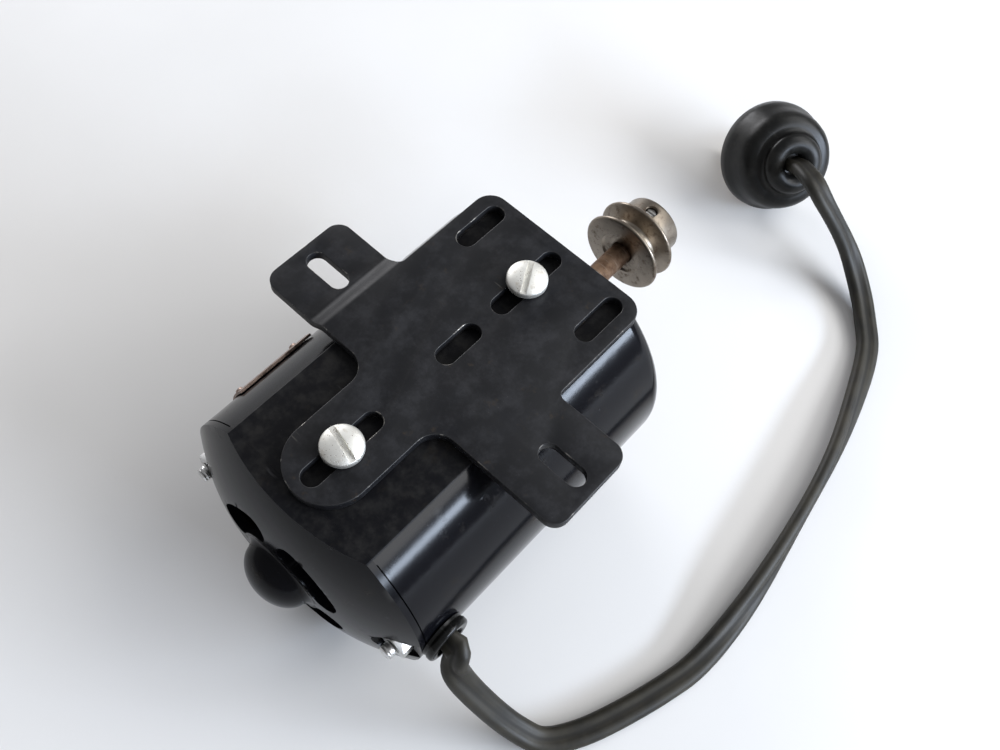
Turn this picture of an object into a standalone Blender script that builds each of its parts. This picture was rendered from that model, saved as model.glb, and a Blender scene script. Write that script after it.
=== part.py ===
"""Series-wound sewing machine motor with a slotted mounting bracket, belt pulley and short cord.

Metres, +Z up. +Y runs along the shaft towards the pulley and +X towards the cord side.
The origin is the bottom centre of the motor's box, with the cord and plug left out.
Sizes are set once at the top; whatever seats on another piece takes its size from there.
"""
import math

import bmesh
import bpy
from mathutils import Matrix, Vector

MM = 0.001
GAP = 0.3 * MM                    # clearance between two pieces that touch

# Housing, a cup with one long flat for the bracket
HOUSING_R = 37.5 * MM
HOUSING_WALL = 2.4 * MM
FRONT_WALL = 3.0 * MM
FRONT_ROUND = 5.0 * MM
PAD_HEIGHT = 30.8 * MM            # flat above the shaft axis
BODY_LEN = 89.5 * MM              # rim edge to front face
BOSS_R = 9.5 * MM
BOSS_LEN = 8.0 * MM
FRONT_HOLE_R = 3.5 * MM
FRONT_HOLE_PITCH_R = 22.0 * MM
HOUSING_STEPS = 58                # leaves a facet flat on the bench
BELL_STEPS = 46

# Rear bell and bearing cap
RIM_HEIGHT = 1.8 * MM
DOME_DEPTH = 8.7 * MM
HUB_R = 9.0 * MM
VENT_COUNT = 4
VENT_PITCH_R = 16.0 * MM
VENT_WIDTH = 8.0 * MM
VENT_SPAN = math.radians(74.0)
VENT_START = math.radians(50.0)
CAP_R = 9.5 * MM
CAP_DEPTH = 7.3 * MM

# Shaft, bearings and armature
SHAFT_R = 3.175 * MM
BUSH_WALL = 1.7 * MM
BUSH_LEN = 10.5 * MM
AIR_GAP = 0.6 * MM
CORE_LEN = 26.0 * MM
CORE_START = 36.0 * MM            # rim edge to the rear of the stack
ARMATURE_R = 15.9 * MM
ARMATURE_SLOTS = 12
SLOT_DEPTH = 5.2 * MM
END_TURN_LEN = 6.5 * MM
COMMUTATOR_R = 11.0 * MM
COMMUTATOR_LEN = 10.0 * MM
COMMUTATOR_START = 15.0 * MM
WASHER_T = 0.8 * MM
FAN_R = 24.0 * MM
FAN_T = 1.4 * MM
FAN_BLADES = 8

# Field coils and brush gear
NECK_HALF = 10.0 * MM
WINDOW_HEIGHT = 7.0 * MM
WINDOW_OUT = 27.5 * MM
COIL_IN = 17.0 * MM
COIL_OVERHANG = 6.2 * MM
BRUSH_SIDE = 4.5 * MM
BRUSH_LEN = 7.7 * MM
HOLDER_WALL = 1.4 * MM
HOLDER_TOP = 26.0 * MM
HOLDER_BOTTOM = 13.2 * MM
BRUSH_PLATE_T = 2.0 * MM

# Through bolts
BOLT_R = 2.0 * MM
BOLT_PITCH_R = 31.5 * MM
STUD_OUT = 5.8 * MM               # rim edge to the end of the stud
NUT_FLATS = 7.0 * MM
NUT_HEIGHT = 3.0 * MM
POCKET_CLEARANCE = 0.8 * MM       # round the corners of a nut
BOSS_WALL = 1.4 * MM
BOLT_DEPTH = 1.5 * MM             # bolt end inside the front wall

# Mounting bracket, flat steel
PLATE_T = 2.6 * MM
HEAD_HALF = 25.0 * MM
HEAD_CORNER = 5.0 * MM
EAR_REACH = 45.8 * MM
EAR_CORNER = 3.8 * MM
EAR_REAR = 17.9 * MM              # measured from the rear screw
EAR_FRONT = 42.5 * MM
HEAD_FRONT = 74.3 * MM
TAIL_HALF = 10.4 * MM
TAIL_CENTRE = 3.7 * MM
TAIL_FILLET = 5.5 * MM
EAR_FILLET = 1.6 * MM
EAR_STEP = 2.4 * MM               # the left ear lies this much lower
STEP_RUN = 5.0 * MM
SLOT_WIDTH = 5.0 * MM
SCREW_SLOT_LEN = 22.8 * MM
SIDE_SLOT_LEN = 15.0 * MM
SIDE_SLOT_X = 18.8 * MM
SIDE_SLOT_Y = 64.2 * MM
CENTRE_SLOT_LEN = 13.2 * MM
CENTRE_SLOT_Y = 36.4 * MM
EAR_SLOT_LEN = 12.4 * MM
EAR_SLOT_X = 36.8 * MM
EAR_SLOT_Y = 30.2 * MM
SCREW_START = 14.0 * MM           # rim edge to the rear screw
SCREW_SPACING = 59.9 * MM
SCREW_R = 2.0 * MM
SCREW_HEAD_R = 5.0 * MM
SCREW_HEAD_H = 3.2 * MM
DRIVER_SLOT = 1.5 * MM
DRIVER_DEPTH = 1.3 * MM

# Belt pulley
PULLEY_START = 29.0 * MM          # front face to the near flange
PULLEY_R = 12.25 * MM
PULLEY_WIDTH = 8.0 * MM
FLANGE_T = 1.3 * MM
GROOVE_DEPTH = 4.4 * MM
PULLEY_HUB_R = 8.75 * MM
PULLEY_HUB_LEN = 7.5 * MM
SET_SCREW_R = 1.5 * MM

# Name plate
NAME_PLATE_T = 0.6 * MM
NAME_PLATE_LEN = 22.0 * MM
NAME_PLATE_Y = 22.0 * MM          # rim edge to its middle
NAME_PLATE_ANGLE = math.radians(163.0)
NAME_PLATE_HALF = math.radians(16.0)
RIVET_R = 1.2 * MM

# Cord, grommet and plug
GROMMET_R = 6.3 * MM
GROMMET_NECK_R = 3.0 * MM
GROMMET_OUT = 2.6 * MM
GROMMET_Y = 6.5 * MM              # rim edge to the cord hole
CORD_R = 2.1 * MM
PLUG_R = 17.5 * MM
PLUG_LEN = 20.0 * MM
PLUG_HOLE_DEPTH = 4.0 * MM
PLUG_ROUND = 1.0 * MM
PLUG_NECK_R = 9.6 * MM            # the ring round the cord
PLUG_AZIMUTH = math.radians(-34.0)
PLUG_BACK = Vector((2.2, 142.0, 0.0)) * MM
BLADE_LEN = 16.0 * MM
BLADE_WIDTH = 6.3 * MM
BLADE_T = 1.5 * MM
BLADE_HALF_PITCH = 6.35 * MM
# The plug leans on its rim and on the tips of its blades
PLUG_TILT = math.atan2(PLUG_R - PLUG_ROUND - BLADE_WIDTH / 2, BLADE_LEN + GAP)
CORD_ROUTE = [(44.6, -55.3, 31.5), (50.0, -54.6, 22.5), (57.8, -52.5, 12.0), (64.5, -50.2, 5.6),
              (70.1, -47.3, 2.7), (75.8, -38.8, 2.4), (80.4, -27.8, 2.4), (84.3, -16.0, 2.4),
              (87.0, -3.6, 2.4), (86.9, 17.9, 2.4), (83.8, 44.4, 2.4), (79.5, 70.9, 2.4),
              (73.6, 92.7, 2.4), (67.8, 109.0, 2.4), (61.6, 117.3, 2.8), (55.9, 123.1, 4.2),
              (49.9, 127.2, 7.0), (44.3, 129.2, 11.2), (39.2, 128.9, 16.5), (34.2, 127.6, 22.2),
              (29.0, 126.6, 27.4), (23.4, 127.6, 30.4)]

# Stations along +Y, worked out from the sizes above; the origin is at mid length
TOTAL_LEN = CAP_DEPTH + DOME_DEPTH + BODY_LEN + PULLEY_START + PULLEY_WIDTH + PULLEY_HUB_LEN
Y_TIP = -TOTAL_LEN / 2
Y_DOME = Y_TIP + CAP_DEPTH
Y_RIM = Y_DOME + DOME_DEPTH
Y_SEAM = Y_RIM + RIM_HEIGHT
Y_FACE = Y_RIM + BODY_LEN
Y_BOSS = Y_FACE + BOSS_LEN
Y_FLANGE = Y_FACE + PULLEY_START
Y_HUB = Y_FLANGE + PULLEY_WIDTH
Y_END = Y_HUB + PULLEY_HUB_LEN
Y_CORE = Y_RIM + CORE_START
Y_SCREW = Y_RIM + SCREW_START
AXIS_Z = HOUSING_R * math.cos(math.pi / HOUSING_STEPS)

INNER_R = HOUSING_R - HOUSING_WALL
INNER_FLAT = PAD_HEIGHT - HOUSING_WALL
BORE_R = SHAFT_R + GAP
BUSH_R = BORE_R + BUSH_WALL
STATOR_R = INNER_R - GAP
STATOR_FLAT = INNER_FLAT - GAP
BOLT_HOLE_R = BOLT_R + GAP
BRUSH_Y = Y_RIM + COMMUTATOR_START + COMMUTATOR_LEN / 2
PLATE_BOTTOM = AXIS_Z + PAD_HEIGHT + GAP
PLATE_TOP = PLATE_BOTTOM + PLATE_T

CENTRE = Matrix.Translation((0.0, 0.0, AXIS_Z))
ALONG_SHAFT = CENTRE @ Matrix.Rotation(-math.pi / 2, 4, "X")
UPRIGHT = Matrix.Identity(4)


# ---- scene helpers -------------------------------------------------------------------------
def clear_scene():
    for obj in list(bpy.data.objects):
        bpy.data.objects.remove(obj, do_unlink=True)


def collection(name):
    group = bpy.data.collections.new(name)
    bpy.context.scene.collection.children.link(group)
    return group


def finish(name, colour, roughness, metallic=0.0):
    """A plain principled material for one piece."""
    mat = bpy.data.materials.new(name)
    mat.use_nodes = True
    shader = mat.node_tree.nodes["Principled BSDF"]
    shader.inputs["Base Color"].default_value = (*colour, 1.0)
    shader.inputs["Roughness"].default_value = roughness
    shader.inputs["Metallic"].default_value = metallic
    mat.diffuse_color = (*colour, 1.0)
    return mat


def add(name, data, look, place):
    """Put an object in the part, or among the hidden cutters when it has no look."""
    obj = bpy.data.objects.new(name, data)
    obj.matrix_world = place
    if look is None:
        CUTTERS.objects.link(obj)
        obj.hide_render = True
        obj.display_type = "WIRE"
    else:
        PART.objects.link(obj)
        data.materials.append(finish(name + "_finish", *look))
    return obj


def cut(target, *cutters):
    for cutter in cutters:
        step = target.modifiers.new("Cut " + cutter.name, "BOOLEAN")
        step.operation = "DIFFERENCE"
        step.solver = "EXACT"
        step.object = cutter
    return target


def join(target, *additions):
    for extra in additions:
        step = target.modifiers.new("Join " + extra.name, "BOOLEAN")
        step.operation = "UNION"
        step.solver = "EXACT"
        step.object = extra
    return target


# ---- shape helpers -------------------------------------------------------------------------
def turned(name, profile, look=None, steps=48, place=ALONG_SHAFT):
    """Lathe (radius, station) points, listed from the front down the outer side."""
    mesh = bpy.data.meshes.new(name)
    points = [(radius, 0.0, station) for radius, station in profile]
    edges = [(i, i + 1) for i in range(len(points) - 1)]
    if all(radius > 0 for radius, _ in profile):
        edges.append((len(points) - 1, 0))
    mesh.from_pydata(points, edges, [])
    obj = add(name, mesh, look, place)
    screw = obj.modifiers.new("Lathe", "SCREW")
    screw.axis = "Z"
    screw.angle = 2 * math.pi
    screw.steps = screw.render_steps = steps
    screw.use_merge_vertices = True
    screw.merge_threshold = 1e-6
    return obj


LIFT = {"X": lambda a, b, h: (h, a, b), "Y": lambda a, b, h: (a, h, b), "Z": lambda a, b, h: (a, b, h)}


def prism_mesh(outline, low, high, axis):
    bm = bmesh.new()
    near = [bm.verts.new(LIFT[axis](a, b, low)) for a, b in outline]
    far = [bm.verts.new(LIFT[axis](a, b, high)) for a, b in outline]
    bm.faces.new(near)
    bm.faces.new(far[::-1])
    for i in range(len(near)):
        j = (i + 1) % len(near)
        bm.faces.new((near[i], far[i], far[j], near[j]))
    bmesh.ops.recalc_face_normals(bm, faces=bm.faces[:])
    return bm


def prism(name, outline, low, high, look=None, axis="Y", place=CENTRE):
    """A straight solid over an outline, running from low to high along one axis."""
    bm = prism_mesh(outline, low, high, axis)
    mesh = bpy.data.meshes.new(name)
    bm.to_mesh(mesh)
    bm.free()
    return add(name, mesh, look, place)


def box(name, x, y, z, look=None, place=CENTRE):
    """A block between (low, high) pairs on each axis."""
    corners = [(x[0], y[0]), (x[1], y[0]), (x[1], y[1]), (x[0], y[1])]
    return prism(name, corners, z[0], z[1], look, "Z", place)


def arc(cx, cy, radius, start, end, steps=6):
    """Points round an arc; angles in degrees."""
    turn = [math.radians(start + (end - start) * i / steps) for i in range(steps + 1)]
    return [(cx + radius * math.cos(t), cy + radius * math.sin(t)) for t in turn]


def disc(cx, cy, radius, steps=20):
    return arc(cx, cy, radius, 0, 360 - 360 / steps, steps - 1)


def slot_outline(cx, cy, length, width, along="Y", steps=8):
    reach = (length - width) / 2
    if along == "X":
        return arc(cx + reach, cy, width / 2, -90, 90, steps) + arc(cx - reach, cy, width / 2, 90, 270, steps)
    return arc(cx, cy + reach, width / 2, 0, 180, steps) + arc(cx, cy - reach, width / 2, 180, 360, steps)


def bent_slot(pitch_r, width, mid, span, steps=6):
    """A slot with round ends, bent round the shaft; angles in degrees, its ends included."""
    r = width / 2
    reach = span / 2 - math.degrees(r / pitch_r)
    first, last = mid - reach, mid + reach
    ends = [(pitch_r * math.cos(math.radians(t)), pitch_r * math.sin(math.radians(t))) for t in (last, first)]
    shape = arc(0.0, 0.0, pitch_r + r, first, last, steps)
    shape += arc(*ends[0], r, last, last + 180, steps)[1:-1]
    shape += arc(0.0, 0.0, pitch_r - r, last, first, steps)
    return shape + arc(*ends[1], r, first + 180, first + 360, steps)[1:-1]


def flat_sided(radius, height, steps=60):
    """A circle about the shaft with its top cut off flat."""
    edge = math.degrees(math.asin(height / radius))
    return arc(0.0, 0.0, radius, 180 - edge, 360 + edge, steps)


def smooth_route(points, spacing):
    """Evenly spaced points on a smooth curve through the route points."""
    ends = [points[0] * 2 - points[1]] + points + [points[-1] * 2 - points[-2]]
    dense = []
    for a, b, c, d in zip(ends, ends[1:], ends[2:], ends[3:]):
        for i in range(12):
            t = i / 12
            dense.append(0.5 * (2 * b + (c - a) * t + (2 * a - 5 * b + 4 * c - d) * t * t
                                + (3 * b - a - 3 * c + d) * t ** 3))
    dense.append(points[-1])
    length = sum((q - p).length for p, q in zip(dense, dense[1:]))
    count = max(2, round(length / spacing))
    picked, run, target = [dense[0]], 0.0, length / count
    for p, q in zip(dense, dense[1:]):
        step = (q - p).length
        while run + step >= target * len(picked) - 1e-9 and len(picked) < count:
            picked.append(p.lerp(q, (target * len(picked) - run) / step))
        run += step
    return picked + [dense[-1]]


def tube(name, points, radius, look, resolution=3, place=UPRIGHT):
    """A round tube along a row of points, with closed ends."""
    data = bpy.data.curves.new(name, "CURVE")
    data.dimensions = "3D"
    data.bevel_depth = radius
    data.bevel_resolution = resolution
    data.use_fill_caps = True
    spline = data.splines.new("POLY")
    spline.points.add(len(points) - 1)
    for slot, point in zip(spline.points, points):
        slot.co = (*point, 1.0)
    return add(name, data, look, place)


# ---- housing and bell ----------------------------------------------------------------------
def pad_cutter(name, height):
    return box(name, (-2 * HOUSING_R, 2 * HOUSING_R), (2 * Y_TIP, 2 * Y_END), (height, 2 * HOUSING_R))


def bolt_holes(name, low, high):
    return [prism(f"{name}_{side}", disc(x, 0.0, BOLT_HOLE_R), low, high)
            for side, x in (("left", -BOLT_PITCH_R), ("right", BOLT_PITCH_R))]


def dome(radius, edge_r, edge_y, depth):
    """Station of a shallow dome at a radius, flat at the hub and steepest at the edge."""
    share = max(0.0, (radius - CAP_R) / (edge_r - CAP_R))
    return edge_y - depth * (1 - share ** 2)


def build_housing():
    corner = [(HOUSING_R - FRONT_ROUND + x, Y_FACE - FRONT_ROUND + y)
              for x, y in reversed(arc(0.0, 0.0, FRONT_ROUND, 0, 90, 5))]
    shell = turned("motor_housing", [
        (BUSH_R + GAP, Y_BOSS), (BOSS_R - 0.8 * MM, Y_BOSS), (BOSS_R, Y_BOSS - 0.8 * MM), (BOSS_R, Y_FACE),
        *corner, (HOUSING_R, Y_SEAM), (BUSH_R + GAP, Y_SEAM)], BLACK_ENAMEL, HOUSING_STEPS)
    end = Y_FACE - FRONT_WALL
    mouth = Y_SEAM - MM
    cavity = cut(turned("housing_cavity", [(0.0, end), (INNER_R, end), (INNER_R, mouth), (0.0, mouth)],
                        steps=HOUSING_STEPS), pad_cutter("housing_inner_pad", INNER_FLAT))
    blind = bolt_holes("housing_bolt_hole", end - MM, end + BOLT_DEPTH + GAP)
    vents = [prism(f"front_hole_{i}", disc(FRONT_HOLE_PITCH_R * math.cos(t), FRONT_HOLE_PITCH_R * math.sin(t),
                                           FRONT_HOLE_R, 16), Y_FACE - 2 * FRONT_WALL, Y_FACE + MM)
             for i, t in enumerate(math.radians(45 + 90 * k) for k in range(4))]
    screws = [prism(f"pad_screw_hole_{i}", disc(0.0, y, SCREW_R + GAP), 0.0, 2 * HOUSING_R, axis="Z")
              for i, y in enumerate((Y_SCREW, Y_SCREW + SCREW_SPACING))]
    cord_hole = prism("cord_hole", disc(Y_RIM + GROMMET_Y, 0.0, GROMMET_NECK_R + GAP), INNER_R - 2 * MM,
                      2 * HOUSING_R, axis="X")
    cut(shell, pad_cutter("housing_pad", PAD_HEIGHT), cavity, *blind, *vents, *screws, cord_hole)


def build_bell():
    radii = [HOUSING_R - (HOUSING_R - CAP_R) * i / 6 for i in range(7)]
    outer = [(r, dome(r, HOUSING_R, Y_RIM, DOME_DEPTH)) for r in radii]
    seam = Y_SEAM - GAP
    bell = turned("rear_bell", [(BUSH_R + GAP, seam), (HOUSING_R, seam), *outer, (BUSH_R + GAP, Y_DOME)],
                  BLACK_ENAMEL, BELL_STEPS)
    inner = [(r, dome(r, HOUSING_R, Y_RIM, DOME_DEPTH) + HOUSING_WALL) for r in radii if HUB_R < r < INNER_R]
    hollow = cut(turned("bell_hollow", [
        (HUB_R, seam + MM), (INNER_R, seam + MM), (INNER_R, seam - 0.2 * MM), *inner, (HUB_R, inner[-1][1])],
        steps=BELL_STEPS), pad_cutter("bell_inner_pad", INNER_FLAT))
    hub = turned("bell_hub", [(BUSH_R + GAP, Y_DOME + BUSH_LEN + 2 * MM), (HUB_R, Y_DOME + BUSH_LEN + 2 * MM),
                              (HUB_R, Y_DOME + MM), (BUSH_R + GAP, Y_DOME + MM)], steps=24)
    pocket_r = NUT_FLATS / math.sqrt(3) + POCKET_CLEARANCE
    cut(hollow, *[prism(f"bell_boss_{side}", disc(x, 0.0, pocket_r + BOSS_WALL), 2 * Y_TIP, Y_SEAM + 2 * MM)
                  for side, x in (("left", -BOLT_PITCH_R), ("right", BOLT_PITCH_R))])
    pockets = []
    for side, sign in (("left", -1), ("right", 1)):
        x = sign * BOLT_PITCH_R
        rounded = arc(x, 0.0, pocket_r, 90, 270, 10) if sign > 0 else arc(x, 0.0, pocket_r, -90, 90, 10)
        tip = sign * 2 * HOUSING_R
        square = [(tip, -pocket_r), (tip, pocket_r)] if sign > 0 else [(tip, pocket_r), (tip, -pocket_r)]
        pockets.append(prism(f"nut_pocket_{side}", rounded + square, 2 * Y_TIP, Y_RIM))
    vents = []
    for i in range(VENT_COUNT):
        mid = math.degrees(VENT_START) + 360 * i / VENT_COUNT
        outline = bent_slot(VENT_PITCH_R, VENT_WIDTH, mid, math.degrees(VENT_SPAN))
        vents.append(prism(f"bell_vent_{i}", outline, 2 * Y_TIP, Y_SEAM + MM))
    cut(bell, pad_cutter("bell_pad", PAD_HEIGHT), hollow)
    join(bell, hub)
    cut(bell, *pockets, *bolt_holes("bell_bolt_hole", 2 * Y_TIP, Y_SEAM + MM), *vents)

    round_cap = [(CAP_R * math.cos(t), Y_DOME - GAP - (CAP_DEPTH - GAP) * math.sin(t))
                 for t in (math.radians(15 * k) for k in range(6))]
    turned("bearing_cap", [
        (0.0, Y_DOME - 3.5 * MM), (CAP_R - 3.0 * MM, Y_DOME - 3.0 * MM), (CAP_R - 2.6 * MM, Y_DOME - GAP),
        *round_cap, (0.0, Y_TIP)], BLACK_ENAMEL, steps=28)


# ---- rotor ---------------------------------------------------------------------------------
def sleeve(name, low, high, look):
    """A bush or washer round the shaft."""
    turned(name, [(BORE_R, high), (BUSH_R, high), (BUSH_R, low), (BORE_R, low)], look, steps=20)


def build_rotor():
    turned("armature_shaft", [
        (0.0, Y_END - MM), (SHAFT_R - 0.4 * MM, Y_END - MM), (SHAFT_R, Y_END - 1.4 * MM), (SHAFT_R, Y_DOME),
        (0.0, Y_DOME)], RUSTY_STEEL, steps=24)
    rear_face = Y_DOME + BUSH_LEN + 2 * MM
    front_face = Y_BOSS - 0.5 * MM
    washer = front_face - BUSH_LEN - GAP - WASHER_T
    sleeve("rear_bearing", rear_face - GAP - BUSH_LEN, rear_face - GAP, BRONZE)
    sleeve("front_bearing", front_face - BUSH_LEN, front_face, BRONZE)
    sleeve("thrust_washer_rear", rear_face, rear_face + WASHER_T, RED_FIBRE)
    sleeve("thrust_washer_front", washer, washer + WASHER_T, RED_FIBRE)

    tooth, notch = 360 / ARMATURE_SLOTS * 0.36, 360 / ARMATURE_SLOTS * 0.40
    outline = []
    for i in range(ARMATURE_SLOTS):
        mid = 360 * i / ARMATURE_SLOTS
        outline += arc(0.0, 0.0, ARMATURE_R, mid - tooth, mid + tooth, 2)
        outline += arc(0.0, 0.0, ARMATURE_R - SLOT_DEPTH, mid + notch, mid + 360 / ARMATURE_SLOTS - notch, 1)
    cut(prism("armature_core", outline, Y_CORE, Y_CORE + CORE_LEN, LAMINATED_STEEL),
        prism("armature_bore", disc(0.0, 0.0, BORE_R), Y_CORE - MM, Y_CORE + CORE_LEN + MM))
    crown = ARMATURE_R - 1.2 * MM
    front = Y_CORE + CORE_LEN + GAP
    turned("armature_winding_front", [(BORE_R, front + END_TURN_LEN), (crown - 4 * MM, front + END_TURN_LEN),
                                      (crown, front + END_TURN_LEN * 0.6), (crown, front), (BORE_R, front)],
           COPPER, steps=24)
    rear = Y_CORE - GAP
    turned("armature_winding_rear", [(BORE_R, rear), (crown, rear), (crown, rear - END_TURN_LEN * 0.6),
                                     (crown - 4 * MM, rear - END_TURN_LEN), (BORE_R, rear - END_TURN_LEN)],
           COPPER, steps=24)
    comm = Y_RIM + COMMUTATOR_START
    bars, riser = comm + COMMUTATOR_LEN, COMMUTATOR_R + 1.4 * MM
    turned("commutator", [
        (BORE_R, bars + 2 * MM), (riser, bars + 2 * MM), (riser, bars), (COMMUTATOR_R, bars),
        (COMMUTATOR_R, comm), (BORE_R, comm)], COPPER_BAR, steps=32)
    blade = []
    for i in range(FAN_BLADES):
        mid = 360 * i / FAN_BLADES
        blade += arc(0.0, 0.0, FAN_R, mid - 13, mid + 13, 3)
        blade += arc(0.0, 0.0, FAN_R * 0.36, mid + 17, mid + 28, 1)
    fan = Y_CORE + CORE_LEN + END_TURN_LEN + 4 * MM
    cut(prism("cooling_fan", blade, fan, fan + FAN_T, SHEET_STEEL),
        prism("fan_bore", disc(0.0, 0.0, BORE_R), fan - MM, fan + FAN_T + MM))


def build_pulley():
    groove = PULLEY_R - GROOVE_DEPTH
    middle = (Y_FLANGE + Y_HUB) / 2
    pulley = turned("belt_pulley", [
        (BORE_R, Y_END), (PULLEY_HUB_R - 0.9 * MM, Y_END), (PULLEY_HUB_R, Y_END - 0.9 * MM),
        (PULLEY_HUB_R, Y_HUB),
        (PULLEY_R - 0.5 * MM, Y_HUB), (PULLEY_R, Y_HUB - 0.5 * MM), (PULLEY_R, Y_HUB - FLANGE_T),
        (groove, middle + 0.9 * MM), (groove, middle - 0.9 * MM), (PULLEY_R, Y_FLANGE + FLANGE_T),
        (PULLEY_R, Y_FLANGE + 0.5 * MM), (PULLEY_R - 0.5 * MM, Y_FLANGE), (BORE_R, Y_FLANGE)],
        AGED_NICKEL, steps=36)
    y = (Y_HUB + Y_END) / 2
    cut(pulley, prism("set_screw_hole", disc(0.0, y, SET_SCREW_R + GAP), 0.0, 2 * PULLEY_R, axis="Z"))
    cut(prism("pulley_set_screw", disc(0.0, y, SET_SCREW_R, 16), SHAFT_R + GAP, PULLEY_HUB_R - 1.2 * MM,
              BRIGHT_STEEL, "Z"),
        box("set_screw_slot", (-SET_SCREW_R * 2, SET_SCREW_R * 2), (y - 0.3 * MM, y + 0.3 * MM),
            (PULLEY_HUB_R - 2.0 * MM, PULLEY_R)))


# ---- stator and brush gear -----------------------------------------------------------------
def build_stator():
    core = prism("field_core", flat_sided(STATOR_R, STATOR_FLAT), Y_CORE, Y_CORE + CORE_LEN, LAMINATED_STEEL)
    low, high = Y_CORE - MM, Y_CORE + CORE_LEN + MM
    windows = []
    quarters = (("left_upper", -1, 1), ("left_lower", -1, -1), ("right_upper", 1, 1), ("right_lower", 1, -1))
    for name, sx, sz in quarters:
        x = sorted((sx * ARMATURE_R / 2, sx * WINDOW_OUT))
        z = sorted((sz * NECK_HALF, sz * (NECK_HALF + WINDOW_HEIGHT)))
        windows.append(box("window_" + name, x, (low, high), z))
    cut(core, prism("field_bore", disc(0.0, 0.0, ARMATURE_R + AIR_GAP, 48), low, high), *windows,
        *bolt_holes("field_bolt_hole", low, high))
    inner = NECK_HALF + GAP
    outer = NECK_HALF + WINDOW_HEIGHT - GAP
    for side, sign in (("left", -1), ("right", 1)):
        x = sorted((sign * COIL_IN, sign * (WINDOW_OUT - GAP)))
        near, far = Y_CORE - GAP - COIL_OVERHANG, Y_CORE + CORE_LEN + GAP + COIL_OVERHANG
        r = COIL_OVERHANG * 0.7
        outline = (arc(far - r, outer - r, r, 0, 90, 4) + arc(near + r, outer - r, r, 90, 180, 4)
                   + arc(near + r, r - outer, r, 180, 270, 4) + arc(far - r, r - outer, r, 270, 360, 4))
        cut(prism(f"field_coil_{side}", outline, x[0], x[1], WRAPPED_COIL, "X"),
            box(f"coil_opening_{side}", (x[0] - MM, x[1] + MM), (Y_CORE - GAP, Y_CORE + CORE_LEN + GAP),
                (-inner, inner)))

    half = BRUSH_SIDE / 2 + GAP
    reach = half + HOLDER_WALL
    plate = BRUSH_Y + reach + GAP
    cut(prism("brush_plate", flat_sided(STATOR_R, STATOR_FLAT), plate, plate + BRUSH_PLATE_T, RED_FIBRE),
        prism("brush_plate_bore", disc(0.0, 0.0, COMMUTATOR_R + 3 * MM, 32), plate - MM,
              plate + BRUSH_PLATE_T + MM),
        *bolt_holes("brush_plate_bolt_hole", plate - MM, plate + BRUSH_PLATE_T + MM))
    spring_start = COMMUTATOR_R + GAP + BRUSH_LEN + GAP
    spring_end = HOLDER_TOP - HOLDER_WALL - GAP
    for side, sign in (("upper", 1), ("lower", -1)):
        holder = sorted((sign * HOLDER_BOTTOM, sign * HOLDER_TOP))
        way = sorted((sign * (HOLDER_BOTTOM - MM), sign * (HOLDER_TOP - HOLDER_WALL)))
        brush = sorted((sign * (COMMUTATOR_R + GAP), sign * (COMMUTATOR_R + GAP + BRUSH_LEN)))
        cut(box(f"brush_holder_{side}", (-reach, reach), (BRUSH_Y - reach, BRUSH_Y + reach), holder, BRASS),
            box(f"brush_way_{side}", (-half, half), (BRUSH_Y - half, BRUSH_Y + half), way))
        box(f"carbon_brush_{side}", (GAP - half, half - GAP), (BRUSH_Y + GAP - half, BRUSH_Y + half - GAP),
            brush, CARBON)
        wire = 0.3 * MM
        turns, steps = 3.5, 8
        rise = spring_end - spring_start - 2 * wire
        coil = []
        for i in range(int(turns * steps) + 1):
            angle = 2 * math.pi * i / steps
            coil.append((1.5 * MM * math.cos(angle), BRUSH_Y + 1.5 * MM * math.sin(angle),
                         sign * (spring_start + wire + rise * i / (turns * steps))))
        tube(f"brush_spring_{side}", coil, wire, BRIGHT_STEEL, 1, CENTRE)


# ---- fasteners -----------------------------------------------------------------------------
def build_bolts():
    hexagon = NUT_FLATS / math.sqrt(3)
    for side, x in (("left", -BOLT_PITCH_R), ("right", BOLT_PITCH_R)):
        prism(f"through_bolt_{side}", disc(x, 0.0, BOLT_R, 16), Y_RIM - STUD_OUT,
              Y_FACE - FRONT_WALL + BOLT_DEPTH, BRIGHT_STEEL)
        seat = Y_RIM - GAP
        cut(prism(f"bolt_nut_{side}", arc(x, 0.0, hexagon, 30, 330, 5), seat - NUT_HEIGHT, seat,
                  BRIGHT_STEEL),
            prism(f"nut_bore_{side}", disc(x, 0.0, BOLT_HOLE_R, 16), seat - NUT_HEIGHT - MM, seat + MM))


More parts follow.
